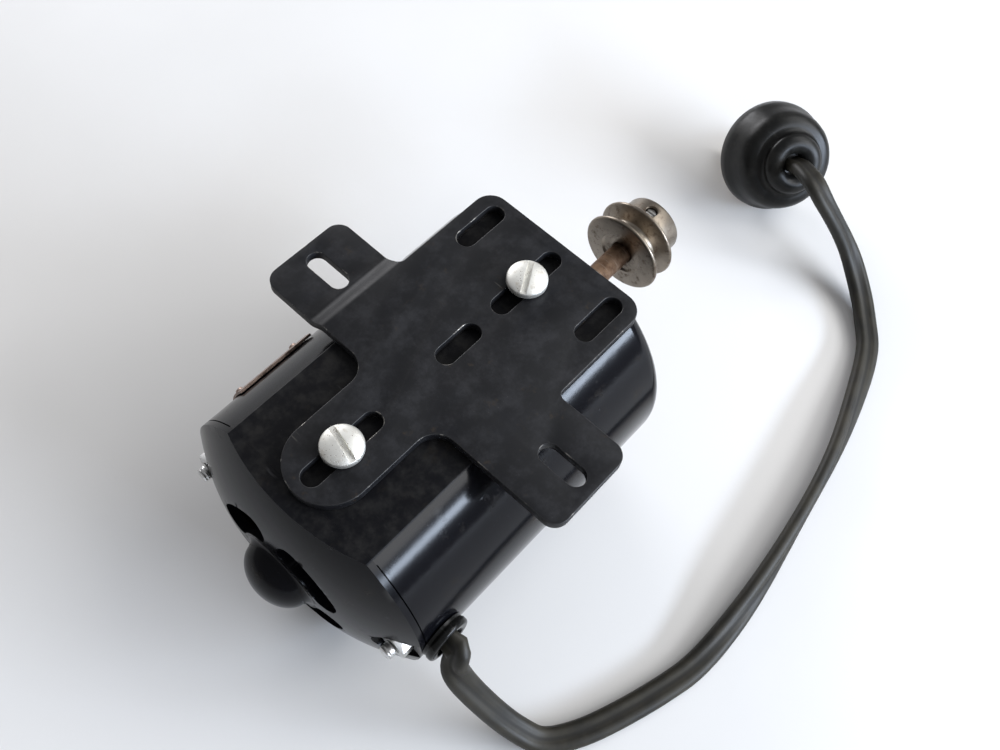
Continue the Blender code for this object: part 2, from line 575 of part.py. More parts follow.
def build_bracket():
    """The cross-shaped plate, its ears' slots and the joggle of the left ear."""
    y = Y_SCREW
    half = [(HEAD_HALF - HEAD_CORNER + a, y + HEAD_FRONT - HEAD_CORNER + b)
            for a, b in arc(0.0, 0.0, HEAD_CORNER, 90, 0)]
    half += arc(HEAD_HALF + EAR_FILLET, y + EAR_FRONT + EAR_FILLET, EAR_FILLET, 180, 270, 4)
    half += arc(EAR_REACH - EAR_CORNER, y + EAR_FRONT - EAR_CORNER, EAR_CORNER, 90, 0)
    half += arc(EAR_REACH - EAR_CORNER, y + EAR_REAR + EAR_CORNER, EAR_CORNER, 0, -90)
    half += arc(TAIL_HALF + TAIL_FILLET, y + EAR_REAR - TAIL_FILLET, TAIL_FILLET, 90, 180)
    half += arc(0.0, y - TAIL_CENTRE, TAIL_HALF, 0, -90, 12)
    outline = half + [(-a, b) for a, b in reversed(half[:-1])]
    bm = prism_mesh(outline, PLATE_BOTTOM, PLATE_TOP, "Z")
    for i in range(5):
        bmesh.ops.bisect_plane(bm, geom=bm.verts[:] + bm.edges[:] + bm.faces[:], dist=1e-7,
                               plane_co=(-HEAD_HALF - STEP_RUN * i / 4, 0, 0), plane_no=(1, 0, 0))
    for vert in bm.verts:
        share = min(1.0, max(0.0, (-vert.co.x - HEAD_HALF) / STEP_RUN))
        vert.co.z -= EAR_STEP * (3 * share ** 2 - 2 * share ** 3)
    bmesh.ops.recalc_face_normals(bm, faces=bm.faces[:])
    mesh = bpy.data.meshes.new("mounting_bracket")
    bm.to_mesh(mesh)
    bm.free()
    plate = add("mounting_bracket", mesh, SATIN_BLACK, UPRIGHT)
    slots = {
        "slot_rear_screw": slot_outline(0.0, y, SCREW_SLOT_LEN, SLOT_WIDTH),
        "slot_front_screw": slot_outline(0.0, y + SCREW_SPACING, SCREW_SLOT_LEN, SLOT_WIDTH),
        "slot_centre": slot_outline(0.0, y + CENTRE_SLOT_Y, CENTRE_SLOT_LEN, SLOT_WIDTH),
        "slot_side_left": slot_outline(-SIDE_SLOT_X, y + SIDE_SLOT_Y, SIDE_SLOT_LEN, SLOT_WIDTH),
        "slot_side_right": slot_outline(SIDE_SLOT_X, y + SIDE_SLOT_Y, SIDE_SLOT_LEN, SLOT_WIDTH),
        "slot_ear_left": slot_outline(-EAR_SLOT_X, y + EAR_SLOT_Y, EAR_SLOT_LEN, SLOT_WIDTH, "X"),
        "slot_ear_right": slot_outline(EAR_SLOT_X, y + EAR_SLOT_Y, EAR_SLOT_LEN, SLOT_WIDTH, "X"),
    }
    for name, shape in slots.items():
        cut(plate, prism(name, shape, PLATE_BOTTOM - 2 * PLATE_T, PLATE_TOP + PLATE_T, axis="Z",
                         place=UPRIGHT))

    for side, at, turn in (("rear", y, -14.0), ("front", y + SCREW_SPACING, -61.0)):
        place = Matrix.Translation((0.0, at, PLATE_TOP + GAP)) @ Matrix.Rotation(math.radians(turn), 4, "Z")
        top = SCREW_HEAD_H
        shank = AXIS_Z + INNER_FLAT - 1.2 * MM - PLATE_TOP - GAP
        screw = turned(f"bracket_screw_{side}", [
            (0.0, top), (SCREW_HEAD_R * 0.55, top - 0.15 * MM), (SCREW_HEAD_R * 0.85, top - 0.7 * MM),
            (SCREW_HEAD_R, top - 1.6 * MM), (SCREW_HEAD_R, 0.0), (SCREW_R, 0.0), (SCREW_R, shank),
            (0.0, shank)], PITTED_NICKEL, 28, place)
        cut(screw, box(f"driver_slot_{side}", (-2 * SCREW_HEAD_R, 2 * SCREW_HEAD_R),
                       (-DRIVER_SLOT / 2, DRIVER_SLOT / 2), (top - DRIVER_DEPTH, top + MM), place=place))


def build_name_plate():
    inner = HOUSING_R + GAP
    outer = inner + NAME_PLATE_T
    mid, half = math.degrees(NAME_PLATE_ANGLE), math.degrees(NAME_PLATE_HALF)
    y = Y_RIM + NAME_PLATE_Y
    shape = arc(0.0, 0.0, outer, mid - half, mid + half, 12)
    shape += arc(0.0, 0.0, inner, mid + half, mid - half, 12)
    prism("name_plate", shape, y - NAME_PLATE_LEN / 2, y + NAME_PLATE_LEN / 2, AGED_BRASS)
    for side, sign in (("rear", -1), ("front", 1)):
        at = y + sign * (NAME_PLATE_LEN / 2 - 2 * RIVET_R)
        place = (CENTRE @ Matrix.Translation((0.0, at, 0.0)) @ Matrix.Rotation(-NAME_PLATE_ANGLE, 4, "Y")
                 @ Matrix.Translation((outer + GAP + 0.05 * MM, 0.0, 0.0))
                 @ Matrix.Rotation(math.pi / 2, 4, "Y"))
        turned(f"name_plate_rivet_{side}", [
            (0.0, 0.7 * MM), (RIVET_R * 0.7, 0.5 * MM), (RIVET_R, 0.0), (0.0, 0.0)], AGED_BRASS, 16, place)


# ---- cord and plug -------------------------------------------------------------------------
def build_cord():
    at = Y_RIM + GROMMET_Y
    side = Matrix.Translation((0.0, at, AXIS_Z)) @ Matrix.Rotation(math.pi / 2, 4, "Y")
    hole = CORD_R + GAP
    seat = HOUSING_R + GAP
    turned("cord_grommet", [
        (hole, seat + GROMMET_OUT), (GROMMET_R - 1.0 * MM, seat + GROMMET_OUT),
        (GROMMET_R - 0.3 * MM, seat + GROMMET_OUT - 0.5 * MM),
        (GROMMET_R, seat + GROMMET_OUT - 1.2 * MM), (GROMMET_R, seat), (GROMMET_NECK_R, seat),
        (GROMMET_NECK_R, INNER_R - 0.6 * MM), (hole, INNER_R - 0.6 * MM)], MOULDED_RUBBER, 28, side)

    level = math.cos(PLUG_TILT)
    outward = Vector((math.cos(PLUG_AZIMUTH) * level, math.sin(PLUG_AZIMUTH) * level, math.sin(PLUG_TILT)))
    back = PLUG_BACK + Vector((0.0, 0.0, (PLUG_R - PLUG_ROUND) * level + GAP))
    face = back + outward * PLUG_LEN
    leave = Vector((seat + GROMMET_OUT + CORD_R, at, AXIS_Z))
    route = [leave] + [Vector(point) * MM for point in CORD_ROUTE] + [face + outward * CORD_R]
    points = [Vector((INNER_R, at, AXIS_Z))] + smooth_route(route, 4 * CORD_R)
    points.append(face - outward * (PLUG_HOLE_DEPTH - GAP))
    tube("mains_cord", points, CORD_R, CORD_RUBBER, 2)

    place = (Matrix.Translation(back) @ Matrix.Rotation(PLUG_AZIMUTH, 4, "Z")
             @ Matrix.Rotation(math.pi / 2 - PLUG_TILT, 4, "Y"))
    crown = PLUG_LEN
    turned("plug_body", [
        (0.0, crown - PLUG_HOLE_DEPTH), (hole, crown - PLUG_HOLE_DEPTH), (hole, crown - 1.6 * MM),
        (hole + 1.2 * MM, crown - 0.4 * MM), (hole + 3.0 * MM, crown),
        (PLUG_NECK_R - 1.6 * MM, crown - 0.7 * MM),
        (PLUG_NECK_R, crown - 2.6 * MM), (PLUG_NECK_R + 1.0 * MM, crown - 4.4 * MM),
        (PLUG_R - 4.9 * MM, crown - 4.6 * MM), (PLUG_R - 2.9 * MM, crown - 5.8 * MM),
        (PLUG_R - 1.6 * MM, crown - 8.5 * MM), (PLUG_R - 0.9 * MM, crown - 12.0 * MM),
        (PLUG_R, crown - 15.5 * MM),
        (PLUG_R, 1.4 * PLUG_ROUND), (PLUG_R - PLUG_ROUND, 0.0), (0.0, 0.0)], DUSTY_RUBBER, 32, place)
    for side, sign in (("left", -1), ("right", 1)):
        y = sign * BLADE_HALF_PITCH
        box(f"plug_blade_{side}", (-BLADE_WIDTH / 2, BLADE_WIDTH / 2), (y - BLADE_T / 2, y + BLADE_T / 2),
            (-GAP - BLADE_LEN, -GAP), BRASS, place)


# ---- looks: colour, roughness, metallic ----------------------------------------------------
BLACK_ENAMEL = ((0.012, 0.012, 0.014), 0.18)
SATIN_BLACK = ((0.022, 0.022, 0.024), 0.45, 0.3)
PITTED_NICKEL = ((0.55, 0.54, 0.50), 0.38, 1.0)
AGED_NICKEL = ((0.42, 0.36, 0.27), 0.35, 1.0)
BRIGHT_STEEL = ((0.62, 0.62, 0.60), 0.28, 1.0)
RUSTY_STEEL = ((0.26, 0.15, 0.09), 0.6, 0.7)
LAMINATED_STEEL = ((0.25, 0.25, 0.26), 0.5, 0.9)
SHEET_STEEL = ((0.45, 0.46, 0.47), 0.4, 1.0)
BRONZE = ((0.45, 0.28, 0.12), 0.45, 1.0)
BRASS = ((0.66, 0.48, 0.20), 0.35, 1.0)
AGED_BRASS = ((0.50, 0.32, 0.14), 0.4, 1.0)
COPPER = ((0.50, 0.20, 0.08), 0.4, 0.8)
COPPER_BAR = ((0.66, 0.33, 0.18), 0.3, 1.0)
WRAPPED_COIL = ((0.36, 0.24, 0.12), 0.8)
RED_FIBRE = ((0.28, 0.06, 0.04), 0.75)
CARBON = ((0.03, 0.03, 0.03), 0.6)
MOULDED_RUBBER = ((0.014, 0.013, 0.013), 0.3)
CORD_RUBBER = ((0.045, 0.036, 0.024), 0.55)
DUSTY_RUBBER = ((0.025, 0.024, 0.024), 0.5)

clear_scene()
PART = collection("sewing_machine_motor")
CUTTERS = collection("cutters")
build_housing()
build_bell()
build_rotor()
build_pulley()
build_stator()
build_bolts()
build_bracket()
build_name_plate()
build_cord()
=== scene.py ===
"""Looks of a small black sewing machine motor with its bracket, pulley, cord and plug.

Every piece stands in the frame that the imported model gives: metres, +Z up, +Y along the shaft
towards the pulley and +X towards the cord's side. Each sub-assembly is a class that builds its
meshes, dresses them and rides them on a body of the frame.
"""
import logging
import math
from dataclasses import dataclass, field
from enum import Enum
from typing import Any, Callable, Iterable, Sequence

import bmesh
import bpy
from mathutils import Matrix, Vector


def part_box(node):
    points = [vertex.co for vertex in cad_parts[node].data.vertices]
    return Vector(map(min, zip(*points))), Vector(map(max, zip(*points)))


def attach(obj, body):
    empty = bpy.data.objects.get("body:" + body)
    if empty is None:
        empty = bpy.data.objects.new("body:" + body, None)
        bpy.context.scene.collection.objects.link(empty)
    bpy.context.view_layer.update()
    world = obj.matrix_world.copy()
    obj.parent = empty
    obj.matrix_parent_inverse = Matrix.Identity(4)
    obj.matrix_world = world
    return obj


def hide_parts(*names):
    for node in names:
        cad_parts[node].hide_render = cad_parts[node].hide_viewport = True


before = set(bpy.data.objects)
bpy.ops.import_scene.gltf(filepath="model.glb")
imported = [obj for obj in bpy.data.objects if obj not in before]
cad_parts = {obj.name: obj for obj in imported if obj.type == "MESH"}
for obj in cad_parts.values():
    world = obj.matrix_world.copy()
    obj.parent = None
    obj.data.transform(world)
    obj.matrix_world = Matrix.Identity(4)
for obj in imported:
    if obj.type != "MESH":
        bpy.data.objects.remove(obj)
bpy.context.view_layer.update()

logging.basicConfig(level=logging.INFO, format="%(message)s")
LOG = logging.getLogger("motor")

MM = 0.001
Point2 = tuple[float, float]
Colour = tuple[float, float, float]


class Body(Enum):
    """The rigid bodies that pieces ride on."""

    MOTOR = "motor"
    ROTOR = "rotor"
    BRACKET = "bracket"


class Side(Enum):
    """Left is away from the cord, right is towards it."""

    LEFT = -1
    RIGHT = 1


# ---- node trees ----------------------------------------------------------------------------
class Sock:
    """A shader value that turns arithmetic into Math nodes."""

    def __init__(self, shade: "Shade", out: Any) -> None:
        """Keep the tree and the output socket."""
        self.shade = shade
        self.out = out

    def _math(self, operation: str, *values: Any) -> "Sock":
        """Add one Math node over some values.

        Args:
            operation: The Math node's operation.
            values: Numbers or sockets, in order.

        Returns:
            The node's result.
        """
        node = self.shade.node("ShaderNodeMath", {"operation": operation}, dict(enumerate(values)))
        return Sock(self.shade, node.outputs[0])

    def __add__(self, other: Any) -> "Sock":
        """Sum."""
        return self._math("ADD", self, other)

    __radd__ = __add__

    def __sub__(self, other: Any) -> "Sock":
        """Difference."""
        return self._math("SUBTRACT", self, other)

    def __rsub__(self, other: Any) -> "Sock":
        """Difference, reflected."""
        return self._math("SUBTRACT", other, self)

    def __mul__(self, other: Any) -> "Sock":
        """Product."""
        return self._math("MULTIPLY", self, other)

    __rmul__ = __mul__

    def __truediv__(self, other: Any) -> "Sock":
        """Quotient."""
        return self._math("DIVIDE", self, other)

    def __rtruediv__(self, other: Any) -> "Sock":
        """Quotient, reflected."""
        return self._math("DIVIDE", other, self)

    def __abs__(self) -> "Sock":
        """Absolute value."""
        return self._math("ABSOLUTE", self)

    def wave(self) -> "Sock":
        """Sine of the value, in radians."""
        return self._math("SINE", self)

    def floor(self) -> "Sock":
        """Whole part of the value."""
        return self._math("FLOOR", self)

    def rise(self, start: float, end: float) -> "Sock":
        """A smooth step from 0 at start to 1 at end; it falls where start is the larger.

        Args:
            start: The value that gives 0.
            end: The value that gives 1.

        Returns:
            The step.
        """
        low, high = min(start, end), max(start, end)
        node = self.shade.node("ShaderNodeMapRange", {"interpolation_type": "SMOOTHSTEP"},
                               {"Value": self, "From Min": low, "From Max": high})
        step = Sock(self.shade, node.outputs["Result"])
        return step if start < end else 1 - step


class Shade:
    """A material's node tree and the few nodes that every finish is made from."""

    def __init__(self, name: str) -> None:
        """Start an empty principled material.

        Args:
            name: The material's name.
        """
        self.material = bpy.data.materials.new(name)
        self.material.use_nodes = True
        self.tree = self.material.node_tree
        self.shader = self.tree.nodes["Principled BSDF"]
        place = self.node("ShaderNodeTexCoord", {}, {})
        self.spot = Sock(self, place.outputs["Object"])

    def node(self, kind: str, settings: dict[str, Any], inputs: dict[Any, Any]) -> Any:
        """Add a node: its settings first, then its sockets' values or links.

        Args:
            kind: The node's type.
            settings: Attributes such as a mode.
            inputs: Socket name or number to a value or a link.

        Returns:
            The node.
        """
        made = self.tree.nodes.new(kind)
        for key, value in settings.items():
            setattr(made, key, value)
        for key, value in inputs.items():
            socket = made.inputs[key]
            if isinstance(value, Sock):
                self.tree.links.new(value.out, socket)
            elif isinstance(value, tuple) and socket.type == "RGBA" and len(value) == 3:
                socket.default_value = (*value, 1.0)
            else:
                socket.default_value = value
        return made

    def axis(self, name: str) -> Sock:
        """One coordinate of the surface point.

        Args:
            name: X, Y or Z.

        Returns:
            The coordinate in metres.
        """
        split = self.node("ShaderNodeSeparateXYZ", {}, {"Vector": self.spot})
        return Sock(self, split.outputs[name])

    def stretched(self, scale: tuple[float, float, float], turn: float = 0.0) -> Sock:
        """The surface point with each axis scaled, for grain that runs one way.

        Args:
            scale: Factor on each axis.
            turn: Turn about +Z in radians.

        Returns:
            The mapped vector.
        """
        mapped = self.node("ShaderNodeMapping", {}, {"Vector": self.spot, "Scale": scale,
                                                     "Rotation": (0.0, 0.0, turn)})
        return Sock(self, mapped.outputs["Vector"])

    def noise(self, size: float, detail: float = 4.0, rough: float = 0.55, where: Sock | None = None,
              seed: float = 0.0) -> Sock:
        """Cloudy noise from 0 to 1.

        Args:
            size: Width of its blobs in metres.
            detail: Octaves.
            rough: How strong the finer octaves are.
            where: Vector to read, the surface point by default.
            seed: Offset that gives another pattern.

        Returns:
            The noise value.
        """
        made = self.node("ShaderNodeTexNoise", {"noise_dimensions": "4D"},
                         {"Vector": where or self.spot, "W": seed, "Scale": 1.0 / size, "Detail": detail,
                          "Roughness": rough})
        return Sock(self, made.outputs["Fac"])

    def cells(self, size: float, feature: str = "F1", where: Sock | None = None) -> Sock:
        """Distance to the nearest of many scattered points.

        Args:
            size: Spacing of the points in metres.
            feature: F1 or DISTANCE_TO_EDGE.
            where: Vector to read.

        Returns:
            The distance in cell widths.
        """
        made = self.node("ShaderNodeTexVoronoi", {"feature": feature}, {"Vector": where or self.spot,
                                                                        "Scale": 1.0 / size})
        return Sock(self, made.outputs["Distance"])

    def mix(self, share: Any, first: Any, second: Any) -> Sock:
        """Blend two colours.

        Args:
            share: Part of the second, from 0 to 1.
            first: Colour or link.
            second: Colour or link.

        Returns:
            The blended colour.
        """
        made = self.node("ShaderNodeMix", {"data_type": "RGBA", "clamp_factor": True},
                         {0: share, 6: first, 7: second})
        return Sock(self, made.outputs[2])

    def bump(self, height: Sock, depth: float, strength: float = 1.0, under: Sock | None = None) -> Sock:
        """A normal from a height pattern.

        Args:
            height: The pattern, from 0 to 1.
            depth: Height of 1, in metres.
            strength: Share of the effect.
            under: Normal that this one is laid over.

        Returns:
            The bumped normal.
        """
        inputs: dict[Any, Any] = {"Height": height, "Distance": depth, "Strength": strength}
        if under is not None:
            inputs["Normal"] = under
        return Sock(self, self.node("ShaderNodeBump", {}, inputs).outputs["Normal"])

    def dress(self, **sockets: Any) -> bpy.types.Material:
        """Set or link the shader's sockets, named with underscores for spaces.

        Args:
            sockets: Values or links, such as Base_Color.

        Returns:
            The finished material.
        """
        for key, value in sockets.items():
            socket = self.shader.inputs[key.replace("_", " ")]
            if isinstance(value, Sock):
                self.tree.links.new(value.out, socket)
            elif isinstance(value, tuple) and len(value) == 3 and socket.type == "RGBA":
                socket.default_value = (*value, 1.0)
            else:
                socket.default_value = value
        return self.material


class GeoTree:
    """A Geometry Nodes tree built in the script and run once on an object."""

    def __init__(self, name: str) -> None:
        """Start a tree with a geometry output.

        Args:
            name: The tree's name.
        """
        self.tree = bpy.data.node_groups.new(name, "GeometryNodeTree")
        self.tree.interface.new_socket("Geometry", in_out="INPUT", socket_type="NodeSocketGeometry")
        self.tree.interface.new_socket("Geometry", in_out="OUTPUT", socket_type="NodeSocketGeometry")
        self.entry = self.tree.nodes.new("NodeGroupInput")
        self.exit = self.tree.nodes.new("NodeGroupOutput")
        self.settings: dict[str, Any] = {}

    def size(self, name: str, value: Any, kind: str = "NodeSocketFloat") -> Any:
        """Add a named input and remember its value.

        Args:
            name: The input's name.
            value: The value that the modifier gets.
            kind: The socket's type.

        Returns:
            The input as a socket inside the tree.
        """
        item = self.tree.interface.new_socket(name, in_out="INPUT", socket_type=kind)
        self.settings[item.identifier] = value
        return next(s for s in self.entry.outputs if s.identifier == item.identifier)

    def node(self, kind: str, settings: dict[str, Any] | None = None,
             inputs: dict[Any, Any] | None = None) -> Any:
        """Add a node: its settings first, then its sockets' values or links.

        Args:
            kind: The node's type.
            settings: Attributes of the node.
            inputs: Socket name or number to a value or a socket.

        Returns:
            The node.
        """
        made = self.tree.nodes.new(kind)
        for key, value in (settings or {}).items():
            setattr(made, key, value)
        for key, value in (inputs or {}).items():
            if isinstance(value, bpy.types.NodeSocket):
                self.tree.links.new(value, made.inputs[key])
            else:
                made.inputs[key].default_value = value
        return made

    def math(self, operation: str, *values: Any) -> Any:
        """Add one Math node and give its result."""
        return self.node("ShaderNodeMath", {"operation": operation}, dict(enumerate(values))).outputs[0]

    def close(self, geometry: Any, material: bpy.types.Material | None) -> None:
        """End the tree in Realize Instances and Set Material.

        Args:
            geometry: The last geometry socket.
            material: What the result is made of.
        """
        real = self.node("GeometryNodeRealizeInstances", {}, {"Geometry": geometry})
        last = self.node("GeometryNodeSetMaterial", {}, {"Geometry": real.outputs[0]})
        if material is not None:
            last.inputs["Material"].default_value = material
        self.tree.links.new(last.outputs[0], self.exit.inputs[0])

    def run(self, name: str, source: Any = None) -> bpy.types.Object:
        """Evaluate the tree into a plain mesh object.

        Args:
            name: The object's name.
            source: Mesh or curve data to start from.

        Returns:
            An object that holds the result and no modifier.
        """
        start = bpy.data.objects.new(name + "_source", source or bpy.data.meshes.new(name + "_source"))
        bpy.context.scene.collection.objects.link(start)
        modifier = start.modifiers.new("Build", "NODES")
        modifier.node_group = self.tree
        for identifier, value in self.settings.items():
            modifier[identifier] = value
        return frozen(start, name)


# ---- mesh work -----------------------------------------------------------------------------
def linked(name: str, data: Any) -> bpy.types.Object:
    """Make an object at the origin and put it in the scene."""
    made = bpy.data.objects.new(name, data)
    bpy.context.scene.collection.objects.link(made)
    return made


def frozen(source: bpy.types.Object, name: str) -> bpy.types.Object:
    """Turn an object with modifiers into a plain mesh object.

    Args:
        source: The object, which is removed.
        name: The new object's name.

    Returns:
        The plain object.
    """
    bpy.context.view_layer.update()
    graph = bpy.context.evaluated_depsgraph_get()
    mesh = bpy.data.meshes.new_from_object(source.evaluated_get(graph), depsgraph=graph)
    bpy.data.objects.remove(source, do_unlink=True)
    mesh.name = name
    return linked(name, mesh)


def arc(cx: float, cy: float, radius: float, start: float, end: float, steps: int = 10) -> list[Point2]:
    """Points round an arc, with angles in degrees."""
    turns = [math.radians(start + (end - start) * i / steps) for i in range(steps + 1)]
    return [(cx + radius * math.cos(t), cy + radius * math.sin(t)) for t in turns]


def ring(cx: float, cy: float, radius: float, steps: int = 48) -> list[Point2]:
    """Points round a whole circle."""
    return arc(cx, cy, radius, 0.0, 360.0 - 360.0 / steps, steps - 1)


def stadium(cx: float, cy: float, length: float, width: float, across: bool = False) -> list[Point2]:
    """The outline of a slot with round ends, along the second axis or across it."""
    reach, r = (length - width) / 2, width / 2
    if across:
        return arc(cx + reach, cy, r, -90, 90, 16) + arc(cx - reach, cy, r, 90, 270, 16)
    return arc(cx, cy + reach, r, 0, 180, 16) + arc(cx, cy - reach, r, 180, 360, 16)


def lathe(name: str, profile: Sequence[Point2], place: Matrix, steps: int = 128) -> bpy.types.Object:
    """Spin (radius, station) points about the placement's Z axis into a closed solid.

    Args:
        name: The object's name.
        profile: Points along one side; both ends on the axis, or a closed loop off it.
        place: Placement baked into the mesh.
        steps: Segments round the axis.

    Returns:
        The object, at the origin.
    """
    bm = bmesh.new()
    rings: list[list[Any]] = []
    for radius, station in profile:
        if radius < 1e-7:
            rings.append([bm.verts.new((0.0, 0.0, station))])
        else:
            rings.append([bm.verts.new((radius * math.cos(2 * math.pi * i / steps),
                                        radius * math.sin(2 * math.pi * i / steps), station))
                          for i in range(steps)])
    loops = list(zip(rings, rings[1:]))
    if all(len(r) > 1 for r in rings):
        loops.append((rings[-1], rings[0]))
    for first, second in loops:
        for i in range(steps):
            j = (i + 1) % steps
            corners = [first[i % len(first)], first[j % len(first)], second[j % len(second)],
                       second[i % len(second)]]
            unique = list(dict.fromkeys(corners))
            if len(unique) > 2:
                bm.faces.new(unique)
    bmesh.ops.recalc_face_normals(bm, faces=bm.faces[:])
    bm.transform(place)
    mesh = bpy.data.meshes.new(name)
    bm.to_mesh(mesh)
    bm.free()
    return linked(name, mesh)


def prism(name: str, outline: Sequence[Point2], low: float, high: float, place: Matrix) -> bpy.types.Object:
    """A straight solid over an outline in the placement's XY plane.

    Args:
        name: The object's name.
        outline: Points of the outline.
        low: Start along the placement's Z axis.
        high: End along the placement's Z axis.
        place: Placement baked into the mesh.

    Returns:
        The object, at the origin.
    """
    bm = bmesh.new()
    near = [bm.verts.new((x, y, low)) for x, y in outline]
    far = [bm.verts.new((x, y, high)) for x, y in outline]
    bm.faces.new(near)
    bm.faces.new(far[::-1])
    for i in range(len(near)):
        j = (i + 1) % len(near)
        bm.faces.new((near[i], far[i], far[j], near[j]))
    bmesh.ops.recalc_face_normals(bm, faces=bm.faces[:])
    bm.transform(place)
    mesh = bpy.data.meshes.new(name)
    bm.to_mesh(mesh)
    bm.free()
    return linked(name, mesh)


def carve(piece: bpy.types.Object, cutters: Iterable[bpy.types.Object]) -> bpy.types.Object:
    """Cut solids out of a piece and remove them.

    Args:
        piece: The object that is cut.
        cutters: Closed solids.

    Returns:
        The cut object, under the same name.
    """
    name, tools = piece.name, list(cutters)
    piece.name = name + "_blank"
    for tool in tools:
        step = piece.modifiers.new("Cut", "BOOLEAN")
        step.operation, step.solver, step.object = "DIFFERENCE", "EXACT", tool
    result = frozen(piece, name)
    for tool in tools:
        bpy.data.objects.remove(tool, do_unlink=True)
    return result


def weigh(piece: bpy.types.Object, angle: float, crisp: tuple[float, float]) -> None:
    """Mark the edges that a rounding takes: bent ones that don't lie between two stations."""
    bm = bmesh.new()
    bm.from_mesh(piece.data)
    weight = bm.edges.layers.float.new("bevel_weight_edge")
    for edge in bm.edges:
        kept = all(crisp[0] < vert.co.y < crisp[1] for vert in edge.verts)
        edge[weight] = float(not kept and edge.calc_face_angle(0.0) > math.radians(angle))
    bm.to_mesh(piece.data)
    bm.free()


def soften(piece: bpy.types.Object, width: float, segments: int = 2, edge_slot: int = -1,
           angle: float = 32.0, crisp: tuple[float, float] | None = None) -> bpy.types.Object:
    """Round a piece's sharp edges.

    Args:
        piece: The object.
        width: Width of the rounding.
        segments: Faces across it.
        edge_slot: Material slot for the rounded faces, or -1 for the piece's own.
        angle: Sharpest bend in degrees that is left alone.
        crisp: Stations along Y between which edges stay sharp.

    Returns:
        The rounded object, under the same name.
    """
    if crisp is not None:
        weigh(piece, angle, crisp)
    name = piece.name
    piece.name = name + "_sharp"
    step = piece.modifiers.new("Round", "BEVEL")
    step.width, step.segments, step.limit_method = width, segments, "WEIGHT" if crisp else "ANGLE"
    step.angle_limit = math.radians(angle)
    step.use_clamp_overlap = True
    step.material = edge_slot
    return frozen(piece, name)


def smooth(piece: bpy.types.Object, angle: float = 40.0) -> bpy.types.Object:
    """Shade a piece smooth, with its edges sharper than an angle kept crisp."""
    bm = bmesh.new()
    bm.from_mesh(piece.data)
    limit = math.radians(angle)
    for face in bm.faces:
        face.smooth = True
    for edge in bm.edges:
        edge.smooth = len(edge.link_faces) == 2 and edge.calc_face_angle(0.0) < limit
    bm.to_mesh(piece.data)
    bm.free()
    return piece


def dress(piece: bpy.types.Object, *materials: bpy.types.Material) -> bpy.types.Object:
    """Give a piece its materials, in slot order."""
    piece.data.materials.clear()
    for material in materials:
        piece.data.materials.append(material)
    return piece


def stand_for(piece: bpy.types.Object, body: Body, slot: str, *nodes: str) -> bpy.types.Object:
    """Ride a piece on a body and let it stand for CAD nodes.

    Args:
        piece: The finished piece.
        body: The body that it moves with.
        slot: The record's material slot; not used.
        nodes: The CAD nodes that it replaces.

    Returns:
        The piece.
    """
    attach(piece, body.value)
    if nodes:
        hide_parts(*nodes)
    LOG.info("%s rides on %s, %d faces", piece.name, body.value, len(piece.data.polygons))
    return piece


# ---- finishes ------------------------------------------------------------------------------
@dataclass(frozen=True)
class BlackEnamel:
    """Gloss stoving enamel with a faint orange peel, dust and scuffs; its flat is rubbed matt."""

    name: str = "black_enamel"
    base: Colour = (0.0032, 0.0033, 0.0046)
    scuff: Colour = (0.085, 0.085, 0.09)
    stain: Colour = (0.026, 0.020, 0.013)
    gloss: float = 0.10
    sheen: float = 0.13
    flat_at: float = 1.0

    def make(self) -> bpy.types.Material:
        """Build the material."""
        s = Shade(self.name)
        cloud = s.noise(22 * MM, 5.0)
        grime = s.noise(7 * MM, 6.0, 0.65, seed=3.0).rise(0.56, 0.74)
        hair = s.noise(2.2 * MM, 3.0, 0.6, s.stretched((0.16, 1.0, 1.0), 0.5), 7.0).rise(0.68, 0.74)
        dust = s.cells(1.3 * MM).rise(0.08, 0.03) * s.noise(9 * MM, 2.0, seed=5.0).rise(0.50, 0.66)
        flat = s.axis("Z").rise(self.flat_at - 0.30 * MM, self.flat_at - 0.10 * MM)
        mottle = s.noise(4 * MM, 7.0, 0.66, seed=6.0)
        colour = s.mix(grime * 0.4, self.base, self.stain)
        colour = s.mix(hair * 0.3 + dust * 0.5, colour, self.scuff)
        colour = s.mix(flat * mottle.rise(0.40, 0.70), colour, (0.017, 0.0165, 0.0165))
        peel = s.noise(2.6 * MM, 2.0, 0.4, seed=2.0)
        normal = s.bump(peel, 0.02 * MM, 0.5)
        normal = s.bump(hair + dust + flat * s.noise(0.5 * MM, 3.0), 0.02 * MM, 0.5, normal)
        rough = self.gloss + cloud * 0.08 + grime * 0.16 + hair * 0.2 + dust * 0.3 + flat * 0.34
        return s.dress(Base_Color=colour, Roughness=rough, Normal=normal, Specular_IOR_Level=self.sheen)


